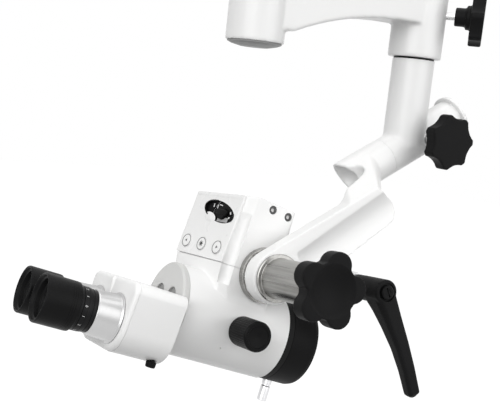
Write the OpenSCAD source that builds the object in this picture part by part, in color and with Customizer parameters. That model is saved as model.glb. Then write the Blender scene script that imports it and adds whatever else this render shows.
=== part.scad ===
// Surgical microscope head on its swivel link: stereo binocular, optics body with
// built-in lamp, tilt hub, slanted swivel sleeve and upper link with two upright pivots.
// The origin is the upright swivel axis at the top of the link's mounting boss.
// X runs along the link, Z is up, and the tilt knob is on the -Y side.

/* [Link] */
// Distance between the two upright pivots
link_reach = 206; // [170:1:260]
// Diameter of the bosses
boss_d = 58; // [54:1:66]
// Height of the mounting boss
boss_h = 98; // [86:1:120]
// Height of the boss that carries the post
post_boss_h = 90; // [80:1:96]
// Width of the web between the bosses
web_w = 50; // [30:1:52]
// Depth of the web's top below the boss tops
web_top = 8; // [4:1:14]
// Depth of the web's underside beside the mounting boss
web_low = 84; // [70:1:86]
// Depth of the web's underside beside the post boss
web_high = 55; // [45:1:60]
// Bore that takes the carrying arm's spindle
mount_bore_d = 30; // [24:1:32]
// Depth of that bore
mount_depth = 60; // [45:1:66]
// Depth of the upper clamp's axis below the link's top
top_clamp_z = 42; // [40:1:48]
// Direction of the upper clamp about the post boss
top_clamp_turn = -45; // [-80:1:0]

/* [Post and sleeve] */
// Diameter of the drop post
post_d = 46; // [42:1:50]
// Depth of the slanted sleeve's axis below the link's top
post_drop = 187.3; // [175:0.1:215]
// Diameter of the steel spindle in the post boss
spindle_d = 28; // [22:1:30]
// Diameter of the slanted sleeve
sleeve_d = 42; // [40:1:45]
// Angle of the sleeve above the horizontal
sleeve_rise = 29.3; // [20:0.1:40]
// Reach of the sleeve past the post, upper end
sleeve_up = 73; // [62:1:90]
// Reach of the sleeve past the post, lower end
sleeve_down = 29; // [27:1:45]
// Diameter of the axle in the sleeve
axle_d = 22; // [18:1:24]
// Place of the sleeve's clamp along the sleeve
side_clamp_x = 22; // [10:1:30]

/* [Clamp knobs] */
// Diameter of the small clamp knobs
clamp_knob_d = 60; // [50:1:66]
// Thickness of their discs
clamp_knob_t = 14; // [10:1:18]
// Diameter of their studs
stud_d = 8; // [6:1:10]
// Number of grip lobes
clamp_lobes = 8; // [6:1:10]

/* [Yoke arm] */
// Turn of the head about the sleeve at rest
arm_turn = -7.5; // [-15:0.5:15]
// Distance from the post to the tilt hub along the sleeve
hub_reach = 232.6; // [215:0.1:260]
// Drop of the tilt hub below the sleeve's axis
hub_drop = 30; // [26:1:34]
// Length of the arm's tube below the sleeve
arm_tube_l = 62; // [60:1:70]
// Height of the arm's side plate at the hub
plate_h = 52; // [50:1:56]
// Height of the side plate at its upper end
plate_end_h = 42; // [38:1:46]
// Thickness of the side plate and hub
plate_t = 20; // [16:1:22]
// Distance from the post to the plate's upper end
plate_end = 76; // [72:1:84]
// Diameter of the tilt shaft
tilt_shaft_d = 24; // [20:1:26]

/* [Tilt hub] */
// Downward tilt of the optics body at rest
head_tilt = 16; // [4:1:40]
// Distance of the tilt ring's outer face from the middle plane
ring_face = 43.7; // [43.5:0.1:46]
// Diameter of the tilt ring
ring_d = 55; // [50:1:58]
// Diameter of the hub's steel flange
hub_flange_d = 47; // [42:1:50]
// Diameter of the steel sleeve
hub_sleeve_d = 39; // [37:1:41]
// Length of the steel sleeve and its flange
hub_sleeve_l = 79; // [60:1:90]
// Diameter of the tilt knob
tilt_knob_d = 70; // [60:1:80]
// Thickness of the tilt knob
tilt_knob_t = 17; // [14:1:24]
// Balance travel of the optics body each way
balance_travel = 8; // [4:1:8]

/* [Clamping lever] */
// Angle of the lever at rest, from square to the optics body toward the patient
lever_turn = 35; // [20:1:50]
// Length of the lever from its hub to its tip
lever_l = 112; // [95:1:125]
// Diameter of the lever's hub
lever_hub_d = 25; // [22:1:28]
// Height of the lever's hub
lever_hub_h = 48; // [40:1:55]

/* [Optics body] */
// Distance of the optical axis below the tilt axis
axis_drop = 57; // [54:1:62]
// Diameter of the round body
body_d = 88; // [84:1:92]
// Wall of the body
body_wall = 4.5; // [3:0.5:6]
// Front face of the body, ahead of the tilt axis
body_front = 72; // [68:1:80]
// Rear face of the body, behind the tilt axis
body_rear = 43; // [40:1:50]
// Thickness of the round front flange
flange_t = 7; // [6:1:10]
// Width of the lamp box
box_w = 82; // [80:1:88]
// Height of the lamp box above the tilt axis
box_h = 69; // [66:1:78]
// Rear face of the lamp box
box_rear = 14; // [14:1:20]
// Distance from the tilt axis to the control panel
panel_front = 52; // [50:1:56]
// Sideways turn of the control panel
panel_yaw = 12.4; // [0:0.1:14]
// Diameter of the push buttons
button_d = 13.5; // [10:0.5:15]
// Spacing of the push buttons
button_pitch = 25; // [20:1:26]
// Diameter of the brightness dial
dial_d = 34; // [28:1:36]
// Diameter of the magnification knobs
mag_knob_d = 29; // [25:1:34]
// Length of the magnification knobs
mag_knob_l = 34; // [24:1:38]

/* [Objective] */
// Diameter of the focus ring
focus_d = 86; // [84:1:90]
// Front edge of the focus ring behind the tilt axis
focus_end = 82; // [78:1:88]
// Diameter of the objective lens
objective_d = 60; // [50:1:62]
// Length of the focus pin
pin_l = 22; // [16:1:30]
// Diameter of the focus pin
pin_d = 10; // [8:1:12]

/* [Binocular] */
// Distance between the eyepiece axes
eye_spacing = 57; // [54:1:60]
// Distance of the binocular housing's middle below the tilt axis
eye_drop = 76; // [74:1:78]
// Distance of the eyepiece axes below the housing's middle
eye_low = 3.5; // [0:0.5:5]
// Width of the binocular housing
bino_width = 120; // [112:1:124]
// Height of the binocular housing
bino_h = 67.5; // [62:0.5:70]
// Length of the binocular housing
bino_l = 53.5; // [46:0.1:60]
// Diameter of the collars at the housing
collar_d = 44; // [42:1:50]
// Length of the collars
collar_l = 24; // [18:1:28]
// Diameter of the eyepieces
eyepiece_d = 41; // [38:1:43]
// Length of the eyepieces without the eyecups
eyepiece_l = 45; // [38:1:52]
// Diameter of the eyecups
eyecup_d = 45.4; // [44.5:0.1:48]

/* [Fits] */
// Gap between pieces that pass each other
gap = 0.3; // [0.25:0.05:0.35]
// Radial play of a turning fit
run_fit = 0.05; // [0.03:0.01:0.08]

/* [Hidden] */
$fn = 72;
cut = 1;

white = "#e9e9e7";
black = "#1c1c1d";
steel = "#a9abae";
bronze = "#b08d57";

boss_r = boss_d / 2;
bush_wall = 5;
bush_flange_t = 3;
bush_flange_grow = 3;
bush_l = 20;
spindle_r = spindle_d / 2;
post_bush_r = spindle_r + bush_wall;
nut_t = 8;
nut_r = post_bush_r + bush_flange_grow;
nut_space_r = nut_r + cut;
washer_t = 1.7;
post_seat = post_boss_h + gap + washer_t;
cap_t = 3;
cap_dome = 4;
bush_top = bush_flange_t + nut_t + 4 * gap + cap_t;
mount_bush_r = mount_bore_d / 2 + bush_wall;
bottom_cap_edge = 2;
bottom_cap_r = boss_r - bottom_cap_edge;
bottom_cap_t = 1.5;
bottom_dome = 4;
web_curve_share = 2.2;
web_steps = 12;

stud_r = stud_d / 2;
knob_hub_r = stud_d * 1.2;
knob_hub_l = 17;
knob_stand = 26;
side_knob_stand = 23;
knob_at = boss_r + knob_stand;
side_knob_at = sleeve_d / 2 + side_knob_stand;

post_r = post_d / 2;
sleeve_r = sleeve_d / 2;
axle_r = axle_d / 2;
sleeve_bush_wall = 4;
sleeve_bush_l = 18;
cable_bore_r = 6;
spindle_socket = 26;
end_cap_grow = 4;
end_cap_r = sleeve_r + end_cap_grow;
end_cap_t = 6;
end_cap_notches = 4;
notch_r = 1.5;

tilt_shaft_r = tilt_shaft_d / 2;
hub_r = plate_h / 2;
hub_inner = ring_face + gap;
hub_outer = hub_inner + plate_t;
hub_bush_wall = 4;
hub_bush_r = tilt_shaft_r + hub_bush_wall;
plate_corner_r = 16;
rib_end_r = 4;
rib_back = 16;
rib_l = 38;
rib_h = 11;
neck_len = 38;
neck_back = 2;
cove_r = 31;
cove_depth = 7;
cove_z = -31;
scoop_r = 18;
scoop_out = 16;
scoop_up = 12;
dish_ball_r = 27;
dish_back = 15;
dish_far = 4;
dish_low = 5;
axle_socket = 20;
hub_flange_t = 3;
hub_sleeve_wall = 4;
hub_sleeve_bore_r = hub_sleeve_d / 2 - hub_sleeve_wall;
spring_count = 10;
spring_pitch = 4.2;
spring_t = 2;
knob_back = hub_outer + hub_sleeve_l + gap;
knob_front = knob_back + tilt_knob_t;
dish_share = 0.34;
dish_r = tilt_knob_d * dish_share;
dish_depth = 4;

side_face = 36;
side_wall = 6;
near_inner = side_face - side_wall;
ring_back = side_face + gap;
rail_y1 = -18;
rail_w0 = -8;
rail_w1 = 16;
rail_u0 = -30;
lever_u = 103;
lever_w = 19;
lever_block_r = 14;
lever_back = 50;
lever_front = lever_back + lever_hub_h;
lever_stud_r = 6;
lever_button_r = 7;
lever_button_out = 2.5;
lever_tip_r = 7;
lever_root_r = 11;
lever_root_l = 26;
lever_tip_out = 2;

body_r = body_d / 2;
flange_face = body_front + flange_t;
box_half = box_w / 2;
box_wall = 3.2;
near_pad = 2;
near_face = side_face + near_pad;
edge_front = 9.4;
edge_side = 5.4;
chassis_front = 34;
saddle_top = -1;
panel_t = 3;
button_w = 12;
button_flange = 0.6;
button_out = 1.2;
button_first = 30;
dial_y = -9;
dial_w = 46;
dial_t = 8;
dial_out = 4.5;
hood_r = 20;
hood_out = 6;
hood_skin = 1.2;
hood_drop = 3;
grip_r = 7;
grip_up = 8;
grip_out = 3;

changer_u = -11;
changer_w = -58;
drum_r = 26;
drum_half = 22;
changer_shaft_r = 5;
channel_y = 12;
port_w = -45;
port_y = 15;
port_r = 8.5;
port_depth = 5;
screw_r = 7;
screw_t = 3;
channel_r = 8;
channel_low_r = 6;
mag_knob_gap = 2;
mag_knob_back = body_r + mag_knob_gap;

light_y = 10;
light_u = 2;
plate_w0 = -12;
plate_w1 = -8 - gap;
lamp_tube_r = 14;
lamp_bore_r = 11;
lamp_tube_top = 42;
led_board_t = 2;
fin_count = 6;
fin_t = 1.6;
fin_pitch = 5;
fin_h = 12;
mirror_t = 3;
mirror_l = 18;
mirror_w = 14;
mirror_w0 = -20;

barrel_flange_t = 7;
focus_r = focus_d / 2;
barrel_rim = 1;
barrel_flange_r = body_r - barrel_rim;
cell_wall = 4;
cell_r = objective_d / 2 + cell_wall;
barrel_wall = 3.5;
barrel_r = cell_r + barrel_wall;
barrel_short = 3;
barrel_end = focus_end - barrel_short;
focus_back = body_rear + barrel_flange_t + gap;
cell_t = 14;
cell_u = 58;
lens_t = 5;
pin_u = 61;
pin_seat = 3;
pin_flute_r = 1.2;
pin_flutes = 8;

eye_half = eye_spacing / 2;
bino_r = bino_h / 2;
bino_back = flange_face + gap;
bino_half = bino_width / 2;
bino_corner_r = 10;
bino_low_r = 27.5;
bino_low_half = 28.5;
bino_front = bino_back + bino_l;
bino_wall = 3.5;
prism = 24;
dovetail_r = 20;
dovetail_low = 13;
dovetail_w = -axis_drop - dovetail_low;
dovetail_wall = 3;
collar_r = collar_d / 2;
collar_taper = 1.5;
collar_tip = bino_front + gap + collar_l;
eyepiece_r = eyepiece_d / 2;
eyepiece_end = collar_tip + eyepiece_l;
eyecup_r = eyecup_d / 2;
eye_bore_r = 12;
tube_r = 15;
pd_in = 2.5;
pd_out = 8;
diopter_l = 13;
diopter_wall = 4;
diopter_seat_r = eyepiece_r - diopter_wall;
eye_tube_r = 18;
eyecup_l = 33;
eyecup_lip = 3;
eyecup_over = 4;
lock_u = 89;
lock_y = -40;
lock_w = -109.8;
lock_r = 5;
lock_l = 6;
lock_stud_r = 3;
lock_stud_l = 10;

// Rods, rings and blocks that lie along one axis
module rod_x(r, a, b) { translate([a, 0, 0]) rotate([0, 90, 0]) cylinder(r = r, h = b - a); }
module rod_y(r, a, b) { translate([0, a, 0]) rotate([-90, 0, 0]) cylinder(r = r, h = b - a); }
module rod_z(r, a, b) { translate([0, 0, a]) cylinder(r = r, h = b - a); }
module ring_x(r, bore, a, b) { difference() { rod_x(r, a, b); rod_x(bore, a - cut, b + cut); } }
module ring_y(r, bore, a, b) { difference() { rod_y(r, a, b); rod_y(bore, a - cut, b + cut); } }
module ring_z(r, bore, a, b) { difference() { rod_z(r, a, b); rod_z(bore, a - cut, b + cut); } }
module block(x0, x1, y0, y1, z0, z1) { translate([x0, y0, z0]) cube([x1 - x0, y1 - y0, z1 - z0]); }

// Frames of the pieces, each carried by the one before
module at_post() { translate([link_reach, 0, 0]) children(); }
module at_top_clamp() { at_post() translate([0, 0, -top_clamp_z]) rotate([0, 0, top_clamp_turn]) children(); }
module at_sleeve() { translate([link_reach, 0, -post_drop]) rotate([0, -sleeve_rise, 0]) children(); }
module at_side_clamp() { at_sleeve() translate([side_clamp_x, 0, 0]) rotate([0, 0, -90]) children(); }
module at_arm() { at_sleeve() rotate([arm_turn, 0, 0]) children(); }
module at_hub() { at_arm() translate([-hub_reach, 0, -hub_drop]) rotate([0, sleeve_rise, 0]) children(); }
module at_head() { at_hub() rotate([0, head_tilt, 0]) children(); }
module at_axis() { at_head() translate([0, 0, -axis_drop]) children(); }
module at_panel() { at_head() translate([-panel_front, 0, 0]) rotate([0, 0, panel_yaw]) children(); }
module at_changer() { at_head() translate([changer_u, 0, changer_w]) children(); }
module at_lever() { at_head() translate([lever_u, 0, lever_w]) children(); }
module at_eye(side) { at_head() translate([0, side * eye_half, -eye_drop - eye_low]) children(); }

// Outline of a knob: a disc with round valleys between its lobes
module lobed_disc(r, lobes, valley_r, bite) {
    difference() {
        circle(r = r);
        for (i = [0 : lobes - 1])
            rotate(360 * (i + 1 / 2) / lobes) translate([r + valley_r - bite, 0]) circle(r = valley_r);
    }
}

// Straight round-ended slot that runs along X and is pierced along Y
module slot_y(r, half, a, b) {
    translate([-half, 0, 0]) rod_y(r, a, b);
    translate([half, 0, 0]) rod_y(r, a, b);
    block(-half, half, a, b, -r, r);
}

// Side-by-side round-ended bar along X with its round ends at +Y and -Y
module stadium_x(r, half, a, b) {
    translate([0, -half, 0]) rod_x(r, a, b);
    translate([0, half, 0]) rod_x(r, a, b);
    block(a, b, -half, half, -r, r);
}

module link_casting() {
    web_length = link_reach - 2 * boss_r;
    underside = [for (i = [0 : web_steps])
        [link_reach - boss_r - web_length * i / web_steps,
         -web_high - (web_low - web_high) * pow(i / web_steps, web_curve_share)]];
    outline = concat([[0, -web_top], [link_reach, -web_top], [link_reach, -web_high]],
        underside, [[0, -web_low]]);
    color(white) difference() {
        union() {
            rod_z(boss_r, -boss_h, 0);
            at_post() rod_z(boss_r, -post_boss_h, 0);
            rotate([90, 0, 0]) linear_extrude(height = web_w, center = true) polygon(outline);
        }
        rod_z(mount_bush_r, -mount_depth, cut);
        rod_z(bottom_cap_r - bottom_cap_t, -boss_h - cut, -mount_depth - 2 * bush_wall);
        at_post() rod_z(post_bush_r, -post_boss_h - cut, cut);
        at_post() rod_z(nut_space_r, -bush_top, cut);
        at_top_clamp() rod_x(stud_r + run_fit, 0, boss_r + cut);
    }
}

module link_bottom_cap() {
    plug_r = bottom_cap_r - bottom_cap_t;
    color(black) difference() {
        union() {
            rod_z(bottom_cap_r, -boss_h - bottom_cap_t, -boss_h);
            rod_z(plug_r, -boss_h, -boss_h + bush_wall);
            rotate_extrude() polygon(concat([[0, -boss_h - bottom_cap_t]],
                [for (a = [0 : 10 : 90]) [bottom_cap_r * cos(a), -boss_h - bottom_cap_t - bottom_dome * sin(a)]]));
        }
        rod_z(plug_r - bottom_cap_t, -boss_h, -boss_h + bush_wall + cut);
    }
}

module link_top_cap() {
    color(white) at_post() {
        rod_z(nut_space_r, -cap_t, 0);
        rotate_extrude() polygon(concat([[0, 0]],
            [for (a = [0 : 10 : 90]) [nut_space_r * cos(a), cap_dome * sin(a)]]));
    }
}

module mount_bush() { color(bronze) ring_z(mount_bush_r, mount_bore_d / 2, -mount_depth, 0); }

module post_bushes() {
    bore = spindle_r + run_fit;
    color(bronze) at_post() {
        ring_z(post_bush_r, bore, -bush_top - bush_l, -bush_top);
        ring_z(nut_r, bore, -bush_top, -bush_top + bush_flange_t);
        ring_z(post_bush_r, bore, -post_boss_h, -post_boss_h + bush_l);
    }
}

// Clamp knob whose axis is X, with its disc at a given distance
module clamp_knob(at) {
    color(black) difference() {
        union() {
            translate([at, 0, 0]) rotate([0, 90, 0])
                linear_extrude(height = clamp_knob_t)
                    lobed_disc(clamp_knob_d / 2, clamp_lobes, clamp_knob_d / 8, clamp_knob_d / 12);
            rod_x(knob_hub_r, at - knob_hub_l, at);
        }
        rod_x(stud_r, at - knob_hub_l - cut, at);
    }
}

module top_clamp_knob() { at_top_clamp() clamp_knob(knob_at); }
module top_clamp_stud() { color(steel) at_top_clamp() rod_x(stud_r, spindle_r + gap, knob_at); }

module post_casting() {
    color(white) difference() {
        union() {
            at_post() rod_z(post_r, -post_drop, -post_seat);
            at_sleeve() rod_x(sleeve_r, -sleeve_down, sleeve_up);
        }
        at_sleeve() block(-post_d, post_d, -post_d, post_d, -post_d - sleeve_d, -sleeve_r);
        at_post() rod_z(spindle_r, -post_seat - spindle_socket, -post_seat + cut);
        at_post() rod_z(cable_bore_r, -post_drop, -post_seat);
        at_sleeve() rod_x(axle_r + sleeve_bush_wall, -sleeve_down - cut, sleeve_up + cut);
        at_side_clamp() rod_x(stud_r + run_fit, 0, post_r + cut);
    }
}

module post_spindle() {
    color(steel) at_post() ring_z(spindle_r, cable_bore_r, -post_seat - spindle_socket, -cap_t - gap);
}

module spindle_nut() {
    seat = -bush_top + bush_flange_t + gap;
    color(steel) at_post() ring_z(nut_r, spindle_r, seat, seat + nut_t);
}

module thrust_washer() { color(black) at_post() ring_z(post_r - cut, spindle_r, -post_seat, -post_seat + washer_t); }

module sleeve_bushes() {
    bush_r = axle_r + sleeve_bush_wall;
    bore = axle_r + run_fit;
    color(bronze) at_sleeve() {
        ring_x(bush_r, bore, -sleeve_down, -sleeve_down + sleeve_bush_l);
        ring_x(bush_r, bore, sleeve_up - sleeve_bush_l, sleeve_up);
    }
}

module side_clamp_knob() { at_side_clamp() clamp_knob(side_knob_at); }
module side_clamp_stud() { color(steel) at_side_clamp() rod_x(stud_r, axle_r + gap, side_knob_at); }

// Side plate of the arm as an outline in X and Z, tapering from the hub to its upper end
module plate_outline() {
    high = -hub_drop + plate_h / 2;
    hull() {
        translate([-hub_reach, -hub_drop]) circle(r = hub_r);
        translate([-plate_end - plate_corner_r, high - plate_end_h + plate_corner_r])
            circle(r = plate_corner_r);
        translate([-plate_end - rib_back, high - rib_end_r]) circle(r = rib_end_r);
    }
}

module yoke_arm() {
    arm_face = -sleeve_down - gap;
    tube_end = arm_face - arm_tube_l;
    high = -hub_drop + plate_h / 2;
    rib_from = -plate_end - rib_back - rib_l;
    cove_from = -hub_reach + hub_r + hub_flange_t;
    color(white) at_arm() difference() {
        union() {
            rod_x(sleeve_r, tube_end, arm_face);
            hull() {
                rod_x(sleeve_r - cut, tube_end + cut, tube_end + neck_len);
                block(rib_from, -plate_end - rib_back + neck_back,
                    -hub_outer, -hub_inner, high - rib_h, high - cut);
            }
            translate([0, -hub_inner, 0]) rotate([90, 0, 0]) linear_extrude(height = plate_t) plate_outline();
        }
        rod_x(axle_r, arm_face - axle_socket, arm_face + cut);
        translate([tube_end, -scoop_out, scoop_up]) sphere(r = scoop_r);
        translate([tube_end - dish_back, dish_far, -dish_low]) sphere(r = dish_ball_r);
        translate([-hub_reach, 0, -hub_drop]) rod_y(hub_bush_r, -hub_outer - cut, -hub_inner + cut);
        translate([0, -hub_outer - cove_r + cove_depth, cove_z]) rod_x(cove_r, cove_from, 0);
    }
}

module arm_axle() {
    inner_end = -sleeve_down - gap - axle_socket;
    color(steel) at_arm() ring_x(axle_r, cable_bore_r, inner_end, sleeve_up + gap);
}

module sleeve_end_cap() {
    color(white) at_arm() difference() {
        rod_x(end_cap_r, sleeve_up + gap, sleeve_up + gap + end_cap_t);
        for (i = [0 : end_cap_notches - 1])
            rotate([360 * i / end_cap_notches, 0, 0]) translate([0, 0, end_cap_r])
                rod_x(notch_r, sleeve_up, sleeve_up + gap + end_cap_t + cut);
    }
}

module hub_bush() {
    color(bronze) at_hub() ring_y(hub_bush_r, tilt_shaft_r + run_fit, -hub_outer, -hub_inner);
}

module hub_sleeve() {
    color(steel) at_hub() {
        ring_y(hub_flange_d / 2, hub_sleeve_bore_r, -hub_outer - hub_flange_t, -hub_outer);
        ring_y(hub_sleeve_d / 2, hub_sleeve_bore_r, -hub_outer - hub_sleeve_l, -hub_outer - hub_flange_t);
    }
}

module spring_stack() {
    color(steel) at_hub() for (i = [0 : spring_count - 1])
        translate([0, -hub_outer - hub_flange_t - spring_pitch * i, 0])
            ring_y(hub_sleeve_bore_r - gap, tilt_shaft_r + gap, -spring_pitch, -spring_pitch + spring_t);
}

module tilt_shaft() {
    color(steel) at_head() rod_y(tilt_shaft_r, -knob_back - tilt_knob_t / 2, -near_inner + gap);
}

module tilt_ring() { color(steel) at_head() ring_y(ring_d / 2, tilt_shaft_r, -ring_face, -ring_back); }

module carriage_rail() {
    color(steel) at_head() difference() {
        union() {
            block(rail_u0, lever_u, -near_inner + gap, rail_y1, rail_w0, rail_w1);
            translate([lever_u, 0, lever_w]) rod_y(lever_block_r, -lever_back + gap, rail_y1);
        }
        translate([lever_u, 0, lever_w]) rod_y(lever_stud_r + run_fit, -lever_back, rail_y1 + cut);
    }
}

module tilt_knob() {
    color(black) at_head() difference() {
        translate([0, -knob_back, 0]) rotate([90, 0, 0]) linear_extrude(height = tilt_knob_t)
            rotate(90) lobed_disc(tilt_knob_d / 2, 5, tilt_knob_d / 4, tilt_knob_d / 7);
        rod_y(tilt_shaft_r + run_fit, -knob_back - tilt_knob_t / 2 - gap, -knob_back + cut);
        rod_y(dish_r, -knob_front - cut, -knob_front + dish_depth);
    }
}

module clamp_lever() {
    hub_r_out = lever_hub_d / 2;
    tip = lever_l - lever_tip_r;
    color(black) at_lever() difference() {
        union() {
            rod_y(hub_r_out, -lever_front, -lever_back);
            rotate([0, -lever_turn, 0]) hull() {
                rod_y(lever_root_r, -lever_front, -lever_front + lever_root_l);
                translate([0, -lever_front - lever_tip_out, -tip]) sphere(r = lever_tip_r, $fn = 32);
            }
        }
        rod_y(lever_stud_r, -lever_back - lever_hub_h / 2, -lever_back + cut);
        rod_y(lever_button_r + run_fit, -lever_front - hub_r_out, -lever_front + lever_hub_h / 4);
    }
}

module lever_stud() {
    color(steel) at_lever() rod_y(lever_stud_r, -lever_back - lever_hub_h / 2, rail_y1);
}

module lever_button() {
    color(black) at_lever() rod_y(lever_button_r, -lever_front - lever_button_out,
        -lever_front + lever_hub_h / 4 - lever_button_out);
}

// Recess and slot of the tilt hub in the near side of the body
module hub_recess() {
    slot_y(ring_d / 2 + cut, balance_travel, -box_w, -side_face);
    slot_y(tilt_shaft_r + cut, balance_travel, -box_w, 0);
}

module main_housing() {
    inner_r = body_r - body_wall;
    color(white) at_head() difference() {
        union() {
            translate([0, 0, -axis_drop]) rod_x(body_r, -body_front, body_rear);
            difference() {
                block(-panel_front - box_half, box_rear, -side_face, box_half, -axis_drop, saddle_top);
                ahead_of_panel(0);
                near_edge(-axis_drop - cut, saddle_top + cut);
            }
        }
        translate([0, 0, -axis_drop]) rod_x(inner_r, -body_front - cut, body_rear + cut);
        difference() {
            block(-panel_front, box_rear - box_wall, -near_inner, box_half - box_wall, -axis_drop, 0);
            ahead_of_panel(box_wall);
        }
        hub_recess();
        block(0, body_rear, -near_inner, rail_y1 + gap, rail_w0 - gap, 0);
        translate([changer_u, 0, changer_w]) rod_y(changer_shaft_r + run_fit, -body_r - cut, body_r + cut);
    }
}

// Everything ahead of the panel's back face
module ahead_of_panel(depth) {
    translate([-panel_front, 0, 0]) rotate([0, 0, panel_yaw])
        block(-body_d, depth, -body_d, body_d, -body_d, 2 * body_d);
}

// Sloping near edge of the lamp box, from the panel round to the near side
module near_edge(low, high) {
    corner_u = -panel_front + near_face * tan(panel_yaw);
    past = box_wall * edge_front / edge_side;
    translate([corner_u, -near_face, low]) rotate([0, 0, panel_yaw]) linear_extrude(height = high - low)
        polygon([[-box_wall, edge_front + past], [edge_side + box_wall, -past], [-box_wall, -past]]);
}

module lamp_cover() {
    color(white) at_head() difference() {
        block(-panel_front - box_half, box_rear, -near_face, box_half, saddle_top, box_h);
        block(-panel_front - box_half, box_rear - box_wall, -near_inner,
            box_half - box_wall, saddle_top - cut, box_h - box_wall);
        ahead_of_panel(panel_t);
        near_edge(saddle_top - cut, box_h + cut);
        hub_recess();
        block(0, box_rear + cut, -near_inner, rail_y1 + gap, saddle_top - cut, rail_w1 + gap);
    }
}

module control_panel() {
    half_w = box_half / cos(panel_yaw);
    color(white) difference() {
        union() {
            difference() {
                at_panel() block(0, panel_t, -half_w, half_w, saddle_top, box_h);
                at_head() near_edge(saddle_top - cut, box_h + cut);
            }
            at_panel() translate([0, dial_y, dial_w]) difference() {
                rod_x(hood_r, -hood_out, cut);
                block(-2 * hood_out, panel_t, -2 * hood_r, 2 * hood_r, -hood_drop, 2 * hood_r);
            }
        }
        at_panel() for (i = [0 : 2]) translate([0, button_first - i * button_pitch, button_w])
            rod_x(button_d / 2 + gap, -cut, panel_t + cut);
        at_panel() translate([0, dial_y, dial_w]) rod_x(dial_d / 2 + gap, -hood_out + hood_skin, panel_t + cut);
    }
}

module chassis() {
    guide = 3;
    color("#b9bcc0") at_head() difference() {
        union() {
            block(-chassis_front, box_rear - box_wall - gap,
                -near_inner + gap, box_half - box_wall - gap, plate_w0, plate_w1);
            block(-chassis_front, box_rear - box_wall - gap,
                rail_y1 + gap, rail_y1 + gap + guide, plate_w1, rail_w1 + gap);
            block(-chassis_front, box_rear - box_wall - gap,
                -near_inner + gap, rail_y1 + gap + guide, rail_w1 + gap, rail_w1 + gap + guide);
            translate([light_u - lamp_tube_r, light_y, 0]) block(-mirror_l / 2, mirror_l / 2,
                mirror_w / 2, mirror_w / 2 + guide, mirror_w0 - mirror_l / 2, plate_w0);
            translate([light_u - lamp_tube_r, light_y, 0]) rod_z(lamp_tube_r, plate_w0, lamp_tube_top);
        }
        translate([light_u - lamp_tube_r, light_y, 0]) rod_z(lamp_bore_r, plate_w0 - cut, lamp_tube_top + cut);
    }
}

module bino_flange() {
    color("#8f9091") at_head() difference() {
        translate([0, 0, -axis_drop]) rod_x(body_r, -flange_face, -body_front);
        translate([0, 0, dovetail_w]) rod_x(dovetail_r, -flange_face - cut, -body_front + cut);
        for (y = [-port_y, port_y]) translate([0, y, port_w])
            rod_x(port_r, -flange_face - cut, -flange_face + port_depth);
    }
}

module led_module() {
    fins = fin_count * fin_pitch;
    color("#c9a24a") at_head() translate([light_u - lamp_tube_r, light_y, lamp_tube_top]) {
        block(-fins / 2, fins / 2, -fins / 2, fins / 2, 0, 2 * led_board_t);
        for (i = [0 : fin_count - 1])
            block(-fins / 2 + fin_pitch * i, -fins / 2 + fin_pitch * i + fin_t, -fins / 2, fins / 2,
                2 * led_board_t, 2 * led_board_t + fin_h);
    }
}

module collector_lens() {
    color("#d8ecf5") at_head() translate([light_u - lamp_tube_r, light_y, 0])
        rod_z(lamp_bore_r, lamp_tube_top - 3 * lens_t, lamp_tube_top - 2 * lens_t);
}

module light_mirror() {
    color("#dfe6ea") at_head() translate([light_u - lamp_tube_r, light_y, mirror_w0])
        rotate([0, 45, 0]) block(-mirror_l / 2, mirror_l / 2, -mirror_w / 2, mirror_w / 2, -mirror_t, 0);
}

module objective_barrel() {
    color(black) at_axis() {
        ring_x(barrel_flange_r, cell_r + run_fit, body_rear, body_rear + barrel_flange_t);
        ring_x(barrel_r, cell_r + run_fit, body_rear + barrel_flange_t, barrel_end);
    }
}

module body_screws() {
    color(steel) at_head() for (y = [-port_y, port_y]) translate([0, y, port_w])
        rod_x(screw_r, -flange_face + port_depth - screw_t, -flange_face + port_depth);
}

module push_button(i) {
    color("#d9d9d7") at_panel() translate([0, button_first - i * button_pitch, button_w]) {
        rod_x(button_d / 2, -button_out, panel_t + gap);
        rod_x(button_d / 2 + button_flange, panel_t + gap, panel_t + gap + cut);
    }
}

module button_far() { push_button(0); }
module button_middle() { push_button(1); }
module button_near() { push_button(2); }

module brightness_dial() {
    color(black) at_panel() translate([0, dial_y, dial_w]) {
        rod_x(dial_d / 2, -dial_out, dial_t - dial_out);
        translate([0, 0, grip_up]) rod_x(grip_r, -dial_out - grip_out, -dial_out);
    }
}

module changer_drum() {
    color("#b9bcc0") at_changer() difference() {
        union() {
            rod_y(drum_r, -drum_half, drum_half);
            rod_y(changer_shaft_r, -mag_knob_back - mag_knob_l / 2, mag_knob_back + mag_knob_l / 2);
        }
        for (y = [-channel_y, channel_y]) translate([0, y, 0]) {
            rod_x(channel_r, -drum_r - cut, drum_r + cut);
            rotate([0, 60, 0]) rod_x(channel_low_r, -drum_r - cut, drum_r + cut);
        }
    }
}

module changer_knobs() {
    color(black) at_changer() for (side = [-1, 1]) rotate([90 * (1 + side), 0, 0])
        difference() {
            rod_y(mag_knob_d / 2, mag_knob_back, mag_knob_back + mag_knob_l);
            rod_y(changer_shaft_r, mag_knob_back - cut, mag_knob_back + mag_knob_l / 2);
        }
}

module changer_lenses() {
    spot = drum_r / 2 + channel_r;
    color("#d8ecf5") at_changer() for (y = [-channel_y, channel_y], x = [-spot, spot])
        translate([x, y, 0]) rod_x(channel_r, -lens_t / 4, lens_t / 4);
}

module focus_ring() {
    color(black) at_axis() difference() {
        rod_x(focus_r, focus_back, focus_end);
        rod_x(barrel_r + run_fit, focus_back - cut, focus_end + cut);
        translate([pin_u, 0, 0]) rod_z(pin_d / 2, -focus_r - cut, -focus_r + pin_seat);
    }
}

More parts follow.
